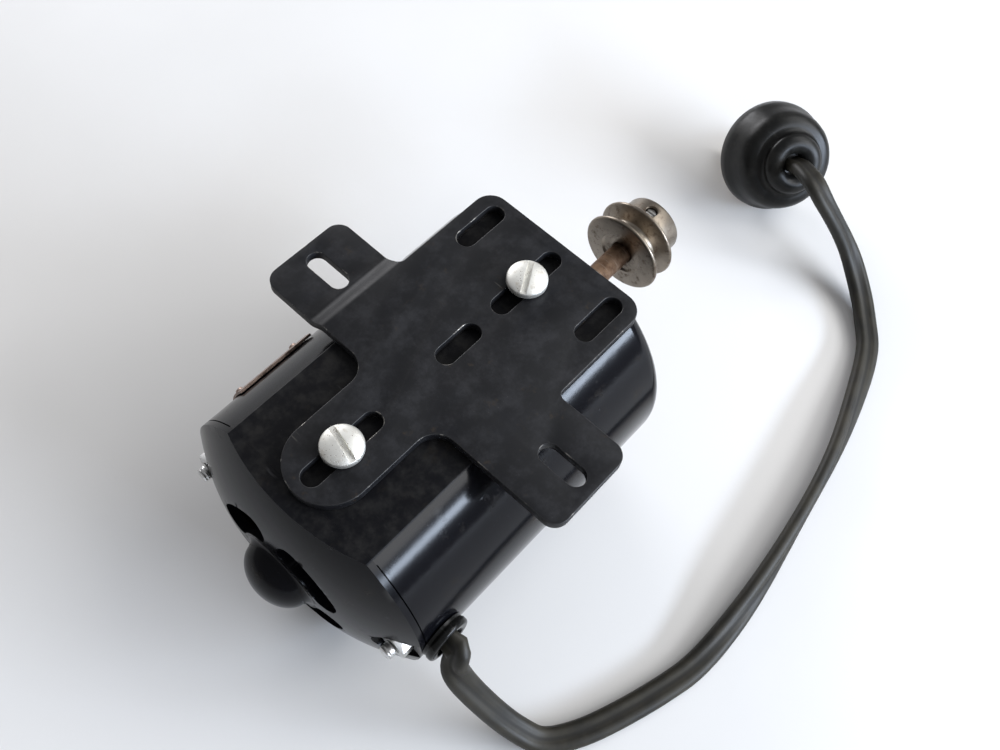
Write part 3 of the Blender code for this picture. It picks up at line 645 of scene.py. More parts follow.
@dataclass(frozen=True)
class JapannedSteel:
    """Satin black plate, mottled and dusty, with brown stains."""

    name: str = "bracket_black"
    base: Colour = (0.0060, 0.0062, 0.0075)
    pale: Colour = (0.024, 0.024, 0.027)
    stain: Colour = (0.032, 0.022, 0.013)
    sheen: float = 0.25

    def make(self) -> bpy.types.Material:
        """Build the material."""
        s = Shade(self.name)
        mottle = s.noise(5 * MM, 8.0, 0.68)
        wiped = s.noise(16 * MM, 4.0, 0.6, s.stretched((1.0, 0.45, 1.0), 0.6), 4.0)
        rust = s.noise(4.5 * MM, 5.0, 0.7, seed=9.0).rise(0.60, 0.72)
        speck = s.cells(0.9 * MM).rise(0.12, 0.04) * mottle.rise(0.50, 0.65)
        scratch = s.noise(1.5 * MM, 2.0, 0.5, s.stretched((0.1, 1.0, 1.0), 0.9), 6.0).rise(0.72, 0.77)
        colour = s.mix(mottle.rise(0.42, 0.68) * 0.6, self.base, self.pale)
        colour = s.mix(wiped.rise(0.55, 0.8) * 0.4, colour, (0.016, 0.018, 0.024))
        colour = s.mix(rust * 0.6, colour, self.stain)
        colour = s.mix(speck * 0.3 + scratch * 0.3, colour, (0.15, 0.14, 0.125))
        normal = s.bump(s.noise(0.55 * MM, 3.0, 0.6, seed=1.0), 0.018 * MM, 0.6)
        normal = s.bump(mottle, 0.05 * MM, 0.4, normal)
        rough = 0.36 + mottle * 0.28 + rust * 0.15 - wiped.rise(0.55, 0.8) * 0.1
        return s.dress(Base_Color=colour, Roughness=rough, Normal=normal, Specular_IOR_Level=self.sheen)


@dataclass(frozen=True)
class WornEdge:
    """Plate edge where the black has rubbed through to bright steel here and there."""

    name: str = "bracket_worn_edge"
    sheen: float = 0.4

    def make(self) -> bpy.types.Material:
        """Build the material."""
        s = Shade(self.name)
        worn = s.noise(5 * MM, 6.0, 0.7, seed=12.0).rise(0.54, 0.68)
        colour = s.mix(worn, (0.012, 0.012, 0.013), (0.34, 0.32, 0.29))
        normal = s.bump(s.noise(0.5 * MM, 3.0), 0.02 * MM, 0.6)
        return s.dress(Base_Color=colour, Roughness=0.44 - worn * 0.1, Metallic=worn * 0.85, Normal=normal,
                       Specular_IOR_Level=self.sheen)


@dataclass(frozen=True)
class PlatedMetal:
    """Nickel or steel plate, dulled and pitted, with brown in the low places."""

    name: str
    base: Colour
    dark: Colour
    gloss: float = 0.28
    pitting: float = 1.0
    browning: float = 0.4
    pit_size: float = 0.55 * MM

    def make(self) -> bpy.types.Material:
        """Build the material."""
        s = Shade(self.name)
        cloud = s.noise(3.2 * MM, 6.0, 0.65)
        pits = s.cells(self.pit_size).rise(0.26, 0.10) * s.noise(1.8 * MM, 3.0, seed=8.0).rise(0.46, 0.60)
        patina = s.noise(2.1 * MM, 7.0, 0.7, seed=5.0).rise(0.50, 0.68)
        colour = s.mix(cloud.rise(0.35, 0.75) * 0.5, self.base, tuple(0.62 * c for c in self.base))
        colour = s.mix(patina * self.browning, colour, self.dark)
        colour = s.mix(pits * self.pitting, colour, tuple(0.5 * c for c in self.dark))
        normal = s.bump(1 - pits, 0.05 * MM * self.pitting, 0.8)
        normal = s.bump(cloud, 0.02 * MM, 0.5, normal)
        rough = self.gloss + cloud * 0.16 + patina * 0.2 * self.browning + pits * 0.3
        return s.dress(Base_Color=colour, Roughness=rough, Metallic=1.0 - patina * 0.3 * self.browning,
                       Normal=normal)


@dataclass(frozen=True)
class RustySteel:
    """Ground shaft steel gone brown, with rings left by the grinding."""

    name: str = "rusty_shaft"

    def make(self) -> bpy.types.Material:
        """Build the material."""
        s = Shade(self.name)
        rings = s.noise(0.6 * MM, 3.0, 0.6, s.stretched((0.08, 1.0, 0.08)), 2.0)
        blotch = s.noise(3.5 * MM, 7.0, 0.7)
        colour = s.mix(blotch.rise(0.35, 0.65), (0.105, 0.055, 0.030), (0.26, 0.165, 0.105))
        colour = s.mix(rings.rise(0.55, 0.75) * 0.6, colour, (0.40, 0.33, 0.27))
        normal = s.bump(rings + blotch, 0.03 * MM, 0.7)
        return s.dress(Base_Color=colour, Roughness=0.36 + blotch * 0.3, Metallic=0.75, Normal=normal)


@dataclass(frozen=True)
class MouldedRubber:
    """Moulded black rubber or composition, with dust and rub marks."""

    name: str
    base: Colour
    dust: Colour = (0.13, 0.12, 0.105)
    gloss: float = 0.3
    dusty: float = 0.4
    sheen: float = 0.2

    def make(self) -> bpy.types.Material:
        """Build the material."""
        s = Shade(self.name)
        film = s.noise(9 * MM, 6.0, 0.65).rise(0.42, 0.72)
        grain = s.noise(0.7 * MM, 4.0, 0.6, seed=4.0)
        fleck = s.cells(1.1 * MM).rise(0.12, 0.04) * film
        rub = s.noise(2.4 * MM, 4.0, 0.6, s.stretched((0.3, 1.0, 1.0), 1.1), 6.0).rise(0.60, 0.72)
        colour = s.mix(film * 0.45 * self.dusty, self.base, self.dust)
        colour = s.mix(rub * 0.35 * self.dusty + fleck * 0.6 * self.dusty, colour, self.dust)
        normal = s.bump(grain, 0.03 * MM, 0.5)
        normal = s.bump(rub, 0.02 * MM, 0.4, normal)
        rough = self.gloss + film * 0.3 * self.dusty + grain * 0.08 + rub * 0.12
        return s.dress(Base_Color=colour, Roughness=rough, Normal=normal, Specular_IOR_Level=self.sheen)


@dataclass(frozen=True)
class CordRubber:
    """Dull olive-brown cord rubber; the groove between the cores is darkened with painted shade."""

    name: str = "cord_rubber"
    sheen: float = 0.38

    def make(self) -> bpy.types.Material:
        """Build the material from the sweep's own "across" attribute."""
        s = Shade(self.name)
        across = Sock(s, s.node("ShaderNodeAttribute", {"attribute_name": "across"}, {}).outputs["Fac"])
        # groove masks the dip between the two cores: painted shade in the colour there, and a rougher surface
        groove = abs(across).rise(0.22, 0.04)
        cloud = s.noise(8 * MM, 6.0, 0.6)
        grain = s.noise(0.5 * MM, 4.0, 0.65, seed=3.0)
        crease = s.noise(1.1 * MM, 3.0, 0.6, seed=11.0)
        colour = s.mix(cloud.rise(0.3, 0.75), (0.0085, 0.0078, 0.0055), (0.030, 0.026, 0.017))
        # painted shade: the colour goes darker in the groove between the cores
        colour = s.mix(groove * 0.6, colour, (0.006, 0.005, 0.004))
        colour = s.mix(grain.rise(0.60, 0.75) * 0.2, colour, (0.09, 0.08, 0.06))
        normal = s.bump(grain + crease, 0.04 * MM, 0.6)
        return s.dress(Base_Color=colour, Roughness=0.42 + cloud * 0.2 + groove * 0.15, Normal=normal,
                       Specular_IOR_Level=self.sheen)


@dataclass(frozen=True)
class BandedMetal:
    """Metal made of fine layers, bars or wires across one axis."""

    name: str
    base: Colour
    gap: Colour
    pitch: float
    axis: str = "Y"
    metal: float = 0.9
    gloss: float = 0.4

    def make(self) -> bpy.types.Material:
        """Build the material."""
        s = Shade(self.name)
        line = (s.axis(self.axis) * (2 * math.pi / self.pitch)).wave() * 0.5 + 0.5
        cloud = s.noise(4 * MM, 5.0)
        colour = s.mix(line.rise(0.25, 0.02), self.base, self.gap)
        colour = s.mix(cloud.rise(0.45, 0.75) * 0.5, colour, tuple(0.5 * c for c in self.base))
        normal = s.bump(line, 0.12 * self.pitch, 0.7)
        return s.dress(Base_Color=colour, Roughness=self.gloss + cloud * 0.2, Metallic=self.metal,
                       Normal=normal)


@dataclass
class Palette:
    """Every finish of the motor, made once."""

    enamel: bpy.types.Material
    bell: bpy.types.Material
    bracket: bpy.types.Material = field(default_factory=lambda: JapannedSteel().make())
    edge: bpy.types.Material = field(default_factory=lambda: WornEdge().make())
    screw: bpy.types.Material = field(default_factory=lambda: PlatedMetal(
        "pitted_nickel", (0.92, 0.91, 0.86), (0.34, 0.26, 0.17), 0.46, 0.9, 0.4, 0.6 * MM).make())
    pulley: bpy.types.Material = field(default_factory=lambda: PlatedMetal(
        "aged_nickel", (0.25, 0.215, 0.175), (0.085, 0.055, 0.032), 0.26, 0.5, 0.85, 0.5 * MM).make())
    steel: bpy.types.Material = field(default_factory=lambda: PlatedMetal(
        "bright_steel", (0.70, 0.70, 0.69), (0.25, 0.17, 0.10), 0.22, 0.4, 0.3, 0.4 * MM).make())
    brass: bpy.types.Material = field(default_factory=lambda: PlatedMetal(
        "aged_brass", (0.30, 0.225, 0.19), (0.08, 0.055, 0.045), 0.38, 0.5, 0.8, 0.7 * MM).make())
    blade: bpy.types.Material = field(default_factory=lambda: PlatedMetal(
        "holder_brass", (0.72, 0.55, 0.27), (0.28, 0.17, 0.07), 0.28, 0.4, 0.5).make())
    bronze: bpy.types.Material = field(default_factory=lambda: PlatedMetal(
        "bronze", (0.42, 0.27, 0.14), (0.10, 0.06, 0.03), 0.42, 0.9, 0.6, 0.4 * MM).make())
    fan: bpy.types.Material = field(default_factory=lambda: PlatedMetal(
        "fan_steel", (0.50, 0.51, 0.52), (0.20, 0.15, 0.10), 0.34, 0.3, 0.3).make())
    shaft: bpy.types.Material = field(default_factory=lambda: RustySteel().make())
    grommet: bpy.types.Material = field(default_factory=lambda: MouldedRubber(
        "moulded_rubber", (0.004, 0.004, 0.004), (0.05, 0.05, 0.045), 0.14, 0.3).make())
    plug: bpy.types.Material = field(default_factory=lambda: MouldedRubber(
        "plug_rubber", (0.0055, 0.0055, 0.0052), (0.050, 0.048, 0.042), 0.27, 0.7).make())
    fibre: bpy.types.Material = field(default_factory=lambda: MouldedRubber(
        "red_fibre", (0.26, 0.055, 0.035), (0.35, 0.14, 0.09), 0.55, 0.5).make())
    carbon: bpy.types.Material = field(default_factory=lambda: MouldedRubber(
        "carbon", (0.022, 0.022, 0.023), (0.09, 0.09, 0.09), 0.4, 0.5).make())
    cord: bpy.types.Material = field(default_factory=lambda: CordRubber().make())
    stack: bpy.types.Material = field(default_factory=lambda: BandedMetal(
        "laminations", (0.30, 0.30, 0.31), (0.04, 0.035, 0.03), 0.5 * MM).make())
    wire: bpy.types.Material = field(default_factory=lambda: BandedMetal(
        "copper_wire", (0.50, 0.19, 0.08), (0.10, 0.03, 0.012), 0.55 * MM, "X", 0.8, 0.3).make())
    bars: bpy.types.Material = field(default_factory=lambda: BandedMetal(
        "commutator_copper", (0.70, 0.36, 0.20), (0.06, 0.04, 0.03), 1.4 * MM, "X", 0.95, 0.25).make())
    tape: bpy.types.Material = field(default_factory=lambda: BandedMetal(
        "wrapped_coil", (0.33, 0.22, 0.11), (0.10, 0.06, 0.03), 3.2 * MM, "Z", 0.0, 0.7).make())


# ---- the frame's stations ------------------------------------------------------------------
@dataclass
class Stations:
    """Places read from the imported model's boxes."""

    axis_z: float
    radius: float
    seam: float
    boss_end: float
    rim: float
    dome: float
    tip: float
    pad: float
    plate_low: float
    plate_high: float
    screw_rear: float
    screw_front: float
    cord_y: float

    @classmethod
    def read(cls, pad_height: float = 30.8 * MM, rim_height: float = 1.8 * MM,
             gap: float = 0.3 * MM) -> "Stations":
        """Read the boxes of the nodes that set the rest.

        Args:
            pad_height: The flat's height over the shaft axis.
            rim_height: From the dome's edge to the housing's rear end.
            gap: Clearance between touching pieces.

        Returns:
            The stations.
        """
        shell, bell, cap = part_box("motor_housing"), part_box("rear_bell"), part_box("bearing_cap")
        shaft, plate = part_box("armature_shaft"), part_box("mounting_bracket")
        rear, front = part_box("bracket_screw_rear"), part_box("bracket_screw_front")
        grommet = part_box("cord_grommet")
        axis = (shaft[0][2] + shaft[1][2]) / 2
        return cls(axis, shell[1][0], shell[0][1], shell[1][1], shell[0][1] - rim_height, bell[0][1],
                   cap[0][1],
                   axis + pad_height, axis + pad_height + gap, plate[1][2],
                   (rear[0][1] + rear[1][1]) / 2, (front[0][1] + front[1][1]) / 2,
                   (grommet[0][1] + grommet[1][1]) / 2)

    def along(self) -> Matrix:
        """Placement whose Z axis runs along the shaft and whose X axis is +X."""
        return Matrix.Translation((0.0, 0.0, self.axis_z)) @ Matrix.Rotation(-math.pi / 2, 4, "X")


# ---- sub-assemblies ------------------------------------------------------------------------
@dataclass
class Casing:
    """The housing cup, the rear bell and the bearing cap."""

    at: Stations
    paint: Palette
    wall: float = 2.4 * MM
    front_wall: float = 3.0 * MM
    front_round: float = 5.0 * MM
    boss_radius: float = 9.5 * MM
    boss_length: float = 8.0 * MM
    bush_hole: float = 5.475 * MM
    hub_radius: float = 9.0 * MM
    cap_radius: float = 9.5 * MM
    vent_count: int = 4
    vent_pitch: float = 16.0 * MM
    vent_width: float = 8.0 * MM
    vent_span: float = 74.0
    vent_start: float = 50.0
    bolt_pitch: float = 31.5 * MM
    bolt_hole: float = 2.3 * MM
    pocket: float = 4.84 * MM
    boss_wall: float = 1.4 * MM
    hub_length: float = 12.5 * MM
    flare: float = 1.5 * MM
    closed: float = 0.28 * MM
    cord_hole: float = 3.3 * MM
    screw_hole: float = 2.3 * MM
    front_hole: float = 3.5 * MM
    front_hole_pitch: float = 22.0 * MM

    def above(self, height: float) -> bpy.types.Object:
        """A cutter that takes off everything above a height."""
        reach = 3 * self.at.radius
        return prism("above", [(-reach, -reach), (reach, -reach), (reach, reach), (-reach, reach)],
                     height, height + reach, Matrix.Identity(4))

    def dome_station(self, radius: float) -> float:
        """Station of the bell's shallow dome at a radius."""
        share = max(0.0, (radius - self.cap_radius) / (self.at.radius - self.cap_radius))
        return self.at.rim - (self.at.rim - self.at.dome) * (1 - share ** 2)

    def vent_outline(self) -> list[Point2]:
        """One vent, a slot with round ends bent round the shaft; the placement's Y axis points down."""
        pitch, r = self.vent_pitch, self.vent_width / 2
        reach = self.vent_span / 2 - math.degrees(r / pitch)
        first, last = self.vent_start - reach, self.vent_start + reach
        ends = [(pitch * math.cos(math.radians(t)), pitch * math.sin(math.radians(t))) for t in (last, first)]
        shape = arc(0.0, 0.0, pitch + r, first, last, 20)
        shape += arc(*ends[0], r, last, last + 180, 12)[1:-1]
        shape += arc(0.0, 0.0, pitch - r, last, first, 20)
        shape += arc(*ends[1], r, first + 180, first + 360, 12)[1:-1]
        return [(x, -y) for x, y in shape]

    def vent_cutters(self, reach: float = 12 * MM) -> bpy.types.Object:
        """Bars of a vent's outline, repeated round the shaft.

        Args:
            reach: How far the bars go past the dome each way.

        Returns:
            One object with all the bars.
        """
        bar = prism("vent_bar", self.vent_outline(), -reach, reach, Matrix.Identity(4))
        geo = GeoTree("vent_bars")
        count = geo.size("Count", self.vent_count, "NodeSocketInt")
        step = geo.size("Step", 2 * math.pi / self.vent_count)
        spots = geo.node("GeometryNodePoints", {}, {"Count": count})
        index = geo.node("GeometryNodeInputIndex")
        spin = geo.node("ShaderNodeCombineXYZ", {}, {"Z": geo.math("MULTIPLY", index.outputs[0], step)})
        bars = geo.node("GeometryNodeInstanceOnPoints", {},
                        {"Points": spots.outputs[0], "Instance": geo.entry.outputs[0],
                         "Rotation": spin.outputs[0]})
        geo.close(bars.outputs[0], None)
        made = geo.run("vent_bars", bar.data)
        bpy.data.objects.remove(bar, do_unlink=True)
        made.data.transform(self.at.along() @ Matrix.Translation((0, 0, self.at.dome)))
        return made

    def housing(self) -> bpy.types.Object:
        """The cup with its flat, rounded front, bearing boss and holes."""
        at, face, inner = self.at, self.at.boss_end - self.boss_length, self.at.radius - self.wall
        curve = [(at.radius - self.front_round + x, face - self.front_round + y)
                 for x, y in arc(0.0, 0.0, self.front_round, 90, 0, 10)]
        start, wide = at.seam - self.closed, 2 * at.radius
        shell = lathe("housing_shell",
                      [(0.0, at.boss_end), (self.boss_radius, at.boss_end), (self.boss_radius, face),
                       *curve, (at.radius, start), (0.0, start)], at.along(), 192)
        end, mouth = face - self.front_wall, start - MM
        room = [(0.0, end), (inner, end), (inner, mouth), (0.0, mouth)]
        cavity = carve(lathe("cavity", room, at.along(), 192), [self.above(at.pad - self.wall)])
        side = Matrix.Translation((0.0, at.cord_y, at.axis_z)) @ Matrix.Rotation(math.pi / 2, 4, "Y")
        below = [(-wide, at.tip), (wide, at.tip), (wide, at.seam), (-wide, at.seam)]
        tools = [self.above(at.pad), cavity, prism("below", below, -MM, at.pad - MM, Matrix.Identity(4)),
                 prism("bore", ring(0.0, 0.0, self.bush_hole), end - MM, at.boss_end + MM, at.along()),
                 prism("cord_way", ring(0.0, 0.0, self.cord_hole, 32), inner - 3 * MM, 2 * at.radius, side)]
        for turn in (45, 135, 225, 315):
            x, y = (self.front_hole_pitch * f(math.radians(turn)) for f in (math.cos, math.sin))
            tools.append(prism("front_hole", ring(x, y, self.front_hole, 32), face - 6 * MM, face + MM,
                               at.along()))
        for y in (at.screw_rear, at.screw_front):
            tools.append(prism("screw_way", ring(0.0, y, self.screw_hole, 32), at.axis_z, at.pad + MM,
                               Matrix.Identity(4)))
        shell = soften(carve(shell, tools), 0.4 * MM, 3, crisp=(at.tip, at.seam + 0.1 * MM))
        return self.finish(shell, self.paint.enamel, "motor_housing")

    def finish(self, piece: bpy.types.Object, look: bpy.types.Material, node: str) -> bpy.types.Object:
        """Dress a casing piece and let it stand for its node."""
        return stand_for(smooth(dress(piece, look), 38), Body.MOTOR, "black_enamel", node)

    def bell(self) -> bpy.types.Object:
        """The domed rear cover with vents, nut pockets and a hub."""
        at, inner, seam = self.at, self.at.radius - self.wall, self.at.seam - 0.3 * MM
        steps = [i / 18 for i in range(19)]
        foot = self.cap_radius + self.flare
        outer = [(r, self.dome_station(r)) for r in (at.radius - (at.radius - foot) * t for t in steps)]
        flare = [(foot + x, self.dome_station(foot) - self.flare + y)
                 for x, y in arc(0.0, 0.0, self.flare, 80, 170, 8)]
        cover = lathe("rear_cover",
                      [(0.0, at.dome + self.hub_length), (self.hub_radius, at.dome + self.hub_length),
                       (self.hub_radius, seam), (at.radius, seam), *outer, *flare, (0.0, flare[-1][1])],
                      at.along(), 192)
        under = [(r, self.dome_station(r) + self.wall)
                 for r in (inner - 0.2 * MM - (inner - self.hub_radius - 0.2 * MM) * t for t in steps)]
        hollow = lathe("hollow",
                       [(self.hub_radius, seam + MM), (inner, seam + MM), (inner, under[0][1]), *under],
                       at.along(), 128)
        bosses = [prism("nut_boss", ring(side.value * self.bolt_pitch, 0.0, self.pocket + self.boss_wall),
                        2 * at.tip, seam + 2 * MM, at.along()) for side in Side]
        hollow = carve(hollow, [self.above(at.pad - self.wall), *bosses])
        tools = [self.above(at.pad), hollow, self.vent_cutters(),
                 prism("bore", ring(0.0, 0.0, self.bush_hole), at.dome - MM, at.dome + 2 * self.hub_length,
                       at.along()),
                 prism("cap_seat", ring(0.0, 0.0, self.cap_radius + 0.02 * MM, 96), at.tip, at.dome,
                       at.along())]
        for side in Side:
            x, r, tip = side.value * self.bolt_pitch, self.pocket, side.value * 2 * at.radius
            start = 90 if side is Side.RIGHT else -90
            square = [(tip, -r * side.value), (tip, r * side.value)]
            tools.append(prism("pocket", arc(x, 0.0, r, start, start + 180, 24) + square, 2 * at.tip, at.rim,
                               at.along()))
            tools.append(prism("bolt_way", ring(x, 0.0, self.bolt_hole, 24), 2 * at.tip, at.seam + MM,
                               at.along()))
        cover = soften(carve(cover, tools), 0.5 * MM, 3, crisp=(seam - 0.1 * MM, seam + 0.1 * MM))
        return self.finish(cover, self.paint.bell, "rear_bell")

    def cap(self) -> bpy.types.Object:
        """The round cap over the rear bearing."""
        at, base = self.at, self.at.dome - 0.3 * MM
        depth = base - at.tip
        curve = [(self.cap_radius * math.cos(math.radians(a)), base - depth * math.sin(math.radians(a)))
                 for a in range(0, 90, 5)]
        profile = [(0.0, base), (self.cap_radius - MM, base), *curve, (0.0, at.tip)]
        return self.finish(lathe("round_cap", profile, at.along(), 96), self.paint.bell, "bearing_cap")

    def build(self) -> None:
        """Make all three."""
        self.housing()
        self.bell()
        self.cap()


@dataclass
class Bracket:
    """The cross-shaped plate with slots and a joggled left ear, and its two screws."""

    at: Stations
    paint: Palette
    head_half: float = 25.0 * MM
    head_corner: float = 5.0 * MM
    head_front: float = 74.3 * MM
    ear_reach: float = 45.8 * MM
    ear_corner: float = 3.8 * MM
    ear_rear: float = 17.9 * MM
    ear_front: float = 42.5 * MM
    ear_fillet: float = 1.6 * MM
    ear_step: float = 2.4 * MM
    step_run: float = 5.0 * MM
    tail_half: float = 10.4 * MM
    tail_centre: float = 3.7 * MM
    tail_fillet: float = 5.5 * MM
    slot_width: float = 5.0 * MM
    screw_slot: float = 22.8 * MM
    centre_slot: float = 13.2 * MM
    centre_slot_at: float = 36.4 * MM
    side_slot: float = 15.0 * MM
    side_slot_out: float = 18.8 * MM
    side_slot_at: float = 64.2 * MM
    ear_slot: float = 12.4 * MM
    ear_slot_out: float = 36.8 * MM
    ear_slot_at: float = 30.2 * MM
    head_radius: float = 5.0 * MM
    head_height: float = 3.2 * MM
    driver_slot: float = 1.5 * MM
    driver_depth: float = 1.3 * MM
    rounding: float = 0.38 * MM

    def outline(self) -> list[Point2]:
        """The plate's outline, its right half mirrored to the left."""
        y = self.at.screw_rear
        half = arc(self.head_half - self.head_corner, y + self.head_front - self.head_corner,
                   self.head_corner, 90, 0)
        half += arc(self.head_half + self.ear_fillet, y + self.ear_front + self.ear_fillet, self.ear_fillet,
                    180, 270, 6)
        half += arc(self.ear_reach - self.ear_corner, y + self.ear_front - self.ear_corner, self.ear_corner,
                    90, 0)
        half += arc(self.ear_reach - self.ear_corner, y + self.ear_rear + self.ear_corner, self.ear_corner, 0,
                    -90)
        half += arc(self.tail_half + self.tail_fillet, y + self.ear_rear - self.tail_fillet, self.tail_fillet,
                    90, 180)
        half += arc(0.0, y - self.tail_centre, self.tail_half, 0, -90, 24)
        return half + [(-a, b) for a, b in reversed(half[:-1])]

    def slots(self) -> list[list[Point2]]:
        """Outlines of the seven slots."""
        y, w = self.at.screw_rear, self.slot_width
        middle = [stadium(0.0, y, self.screw_slot, w), stadium(0.0, self.at.screw_front, self.screw_slot, w),
                  stadium(0.0, y + self.centre_slot_at, self.centre_slot, w)]
        sides = [stadium(sign * self.side_slot_out, y + self.side_slot_at, self.side_slot, w)
                 for sign in (-1, 1)]
        ears = [stadium(sign * self.ear_slot_out, y + self.ear_slot_at, self.ear_slot, w, True)
                for sign in (-1, 1)]
        return middle + sides + ears

    def joggled(self, plate: bpy.types.Object, lines: int = 20) -> bpy.types.Object:
        """Step the left ear down, with the bends split fine enough to look round.

        Args:
            plate: The flat plate.
            lines: Fold lines across the step.

        Returns:
            The bent plate.
        """
        bm = bmesh.new()
        bm.from_mesh(plate.data)
        for i in range(lines + 1):
            bmesh.ops.bisect_plane(bm, geom=bm.verts[:] + bm.edges[:] + bm.faces[:], dist=1e-7,
                                   plane_co=(-self.head_half - self.step_run * i / lines, 0, 0),
                                   plane_no=(1, 0, 0))
        for vert in bm.verts:
            share = min(1.0, max(0.0, (-vert.co.x - self.head_half) / self.step_run))
            vert.co.z -= self.ear_step * (3 * share ** 2 - 2 * share ** 3)
        bm.to_mesh(plate.data)
        bm.free()
        return plate

    def plate(self) -> bpy.types.Object:
        """The plate with rounded, worn edges."""
        flat = prism("bracket_plate", self.outline(), self.at.plate_low, self.at.plate_high,
                     Matrix.Identity(4))
        tools = [prism("slot", shape, self.at.plate_low - 5 * MM, self.at.plate_high + 5 * MM,
                       Matrix.Identity(4))
                 for shape in self.slots()]
        flat = dress(carve(flat, tools), self.paint.bracket, self.paint.edge)
        plate = self.joggled(soften(flat, self.rounding, 3, edge_slot=1, angle=50))
        plate.name = "bracket_plate"
        return stand_for(smooth(plate, 30), Body.BRACKET, "bracket_black", "mounting_bracket")

    def screw(self, node: str, turn: float) -> bpy.types.Object:
        """One slotted screw with a domed head.

        Args:
            node: The CAD node that it stands for.
            turn: The driver slot's angle in degrees.

        Returns:
            The screw.
        """
        low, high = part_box(node)
        seat = self.at.plate_high + 0.3 * MM
        top, r = high[2] - seat, self.head_radius
        dome = [(r * math.sin(a), top - 0.55 * self.head_height * (1 - math.cos(a)))
                for a in (math.radians(t) for t in range(6, 91, 7))]
        profile = [(0.0, top), *dome, (r, 0.35 * MM), (r - 0.3 * MM, 0.0), (2.0 * MM, 0.0),
                   (2.0 * MM, low[2] - seat),
                   (0.0, low[2] - seat)]
        place = (Matrix.Translation(((low[0] + high[0]) / 2, (low[1] + high[1]) / 2, seat))
                 @ Matrix.Rotation(math.radians(turn), 4, "Z"))
        half = self.driver_slot / 2
        tool = prism("driver", [(-2 * r, -half), (2 * r, -half), (2 * r, half), (-2 * r, half)],
                     top - self.driver_depth, top + MM, place)
        head = soften(carve(lathe(node + "_head", profile, place, 96), [tool]), 0.18 * MM, 2, angle=40)
        return stand_for(smooth(dress(head, self.paint.screw), 35), Body.MOTOR, "pitted_nickel", node)

    def build(self) -> None:
        """Make the plate and both screws."""
        self.plate()
        self.screw("bracket_screw_rear", -14.0)
        self.screw("bracket_screw_front", -61.0)


@dataclass
class Pulley:
    """The grooved belt pulley on its brown shaft."""

    at: Stations
    paint: Palette
    flange: float = 1.3 * MM
    groove: float = 4.4 * MM
    bore: float = 3.475 * MM
    hub_radius: float = 8.75 * MM
    hub_length: float = 7.5 * MM
    screw_hole: float = 1.8 * MM

    def build(self) -> None:
        """Make the pulley and the shaft."""
        low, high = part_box("belt_pulley")
        radius = (high[0] - low[0]) / 2
        end, near, far = high[1], low[1], high[1] - self.hub_length
        middle, floor = (near + far) / 2, radius - self.groove
        lip = self.flange / 2
        near_lip = [(radius - lip + x, near + lip + y) for x, y in arc(0, 0, lip, 90, -90, 8)]
        far_lip = [(radius - lip + x, far - lip + y) for x, y in arc(0, 0, lip, 90, -90, 8)]
        bottom = ((0.25 * MM, 1.1 * MM), (0.0, 0.5 * MM), (0.0, -0.5 * MM), (0.25 * MM, -1.1 * MM))
        hollow = [(floor + x, middle + y) for x, y in bottom]
        profile = [(self.bore, end), (self.hub_radius - 0.9 * MM, end),
                   (self.hub_radius - 0.3 * MM, end - 0.25 * MM), (self.hub_radius, end - 0.9 * MM),
                   (self.hub_radius, far + 0.5 * MM), (self.hub_radius + 0.4 * MM, far),
                   *far_lip, *hollow, *near_lip, (self.bore + 3.2 * MM, near),
                   (self.bore + 2.6 * MM, near + 0.5 * MM), (self.bore, near + 0.5 * MM)]
        wheel = lathe("pulley_wheel", profile, self.at.along(), 128)
        hole = prism("screw_way", ring(0.0, (far + end) / 2, self.screw_hole, 32), self.at.axis_z,
                     self.at.axis_z + 2 * radius, Matrix.Identity(4))
        wheel = soften(carve(wheel, [hole]), 0.22 * MM, 2, angle=42)
        stand_for(smooth(dress(wheel, self.paint.pulley), 36), Body.ROTOR, "aged_nickel", "belt_pulley")

        low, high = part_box("armature_shaft")
        r = (high[0] - low[0]) / 2
        profile = [(0.0, high[1]), (r - 0.5 * MM, high[1]), (r, high[1] - 0.5 * MM), (r, low[1]),
                   (0.0, low[1])]
        rod = lathe("shaft_rod", profile, self.at.along(), 64)
        stand_for(smooth(dress(rod, self.paint.shaft), 50), Body.ROTOR, "rusty_shaft", "armature_shaft")


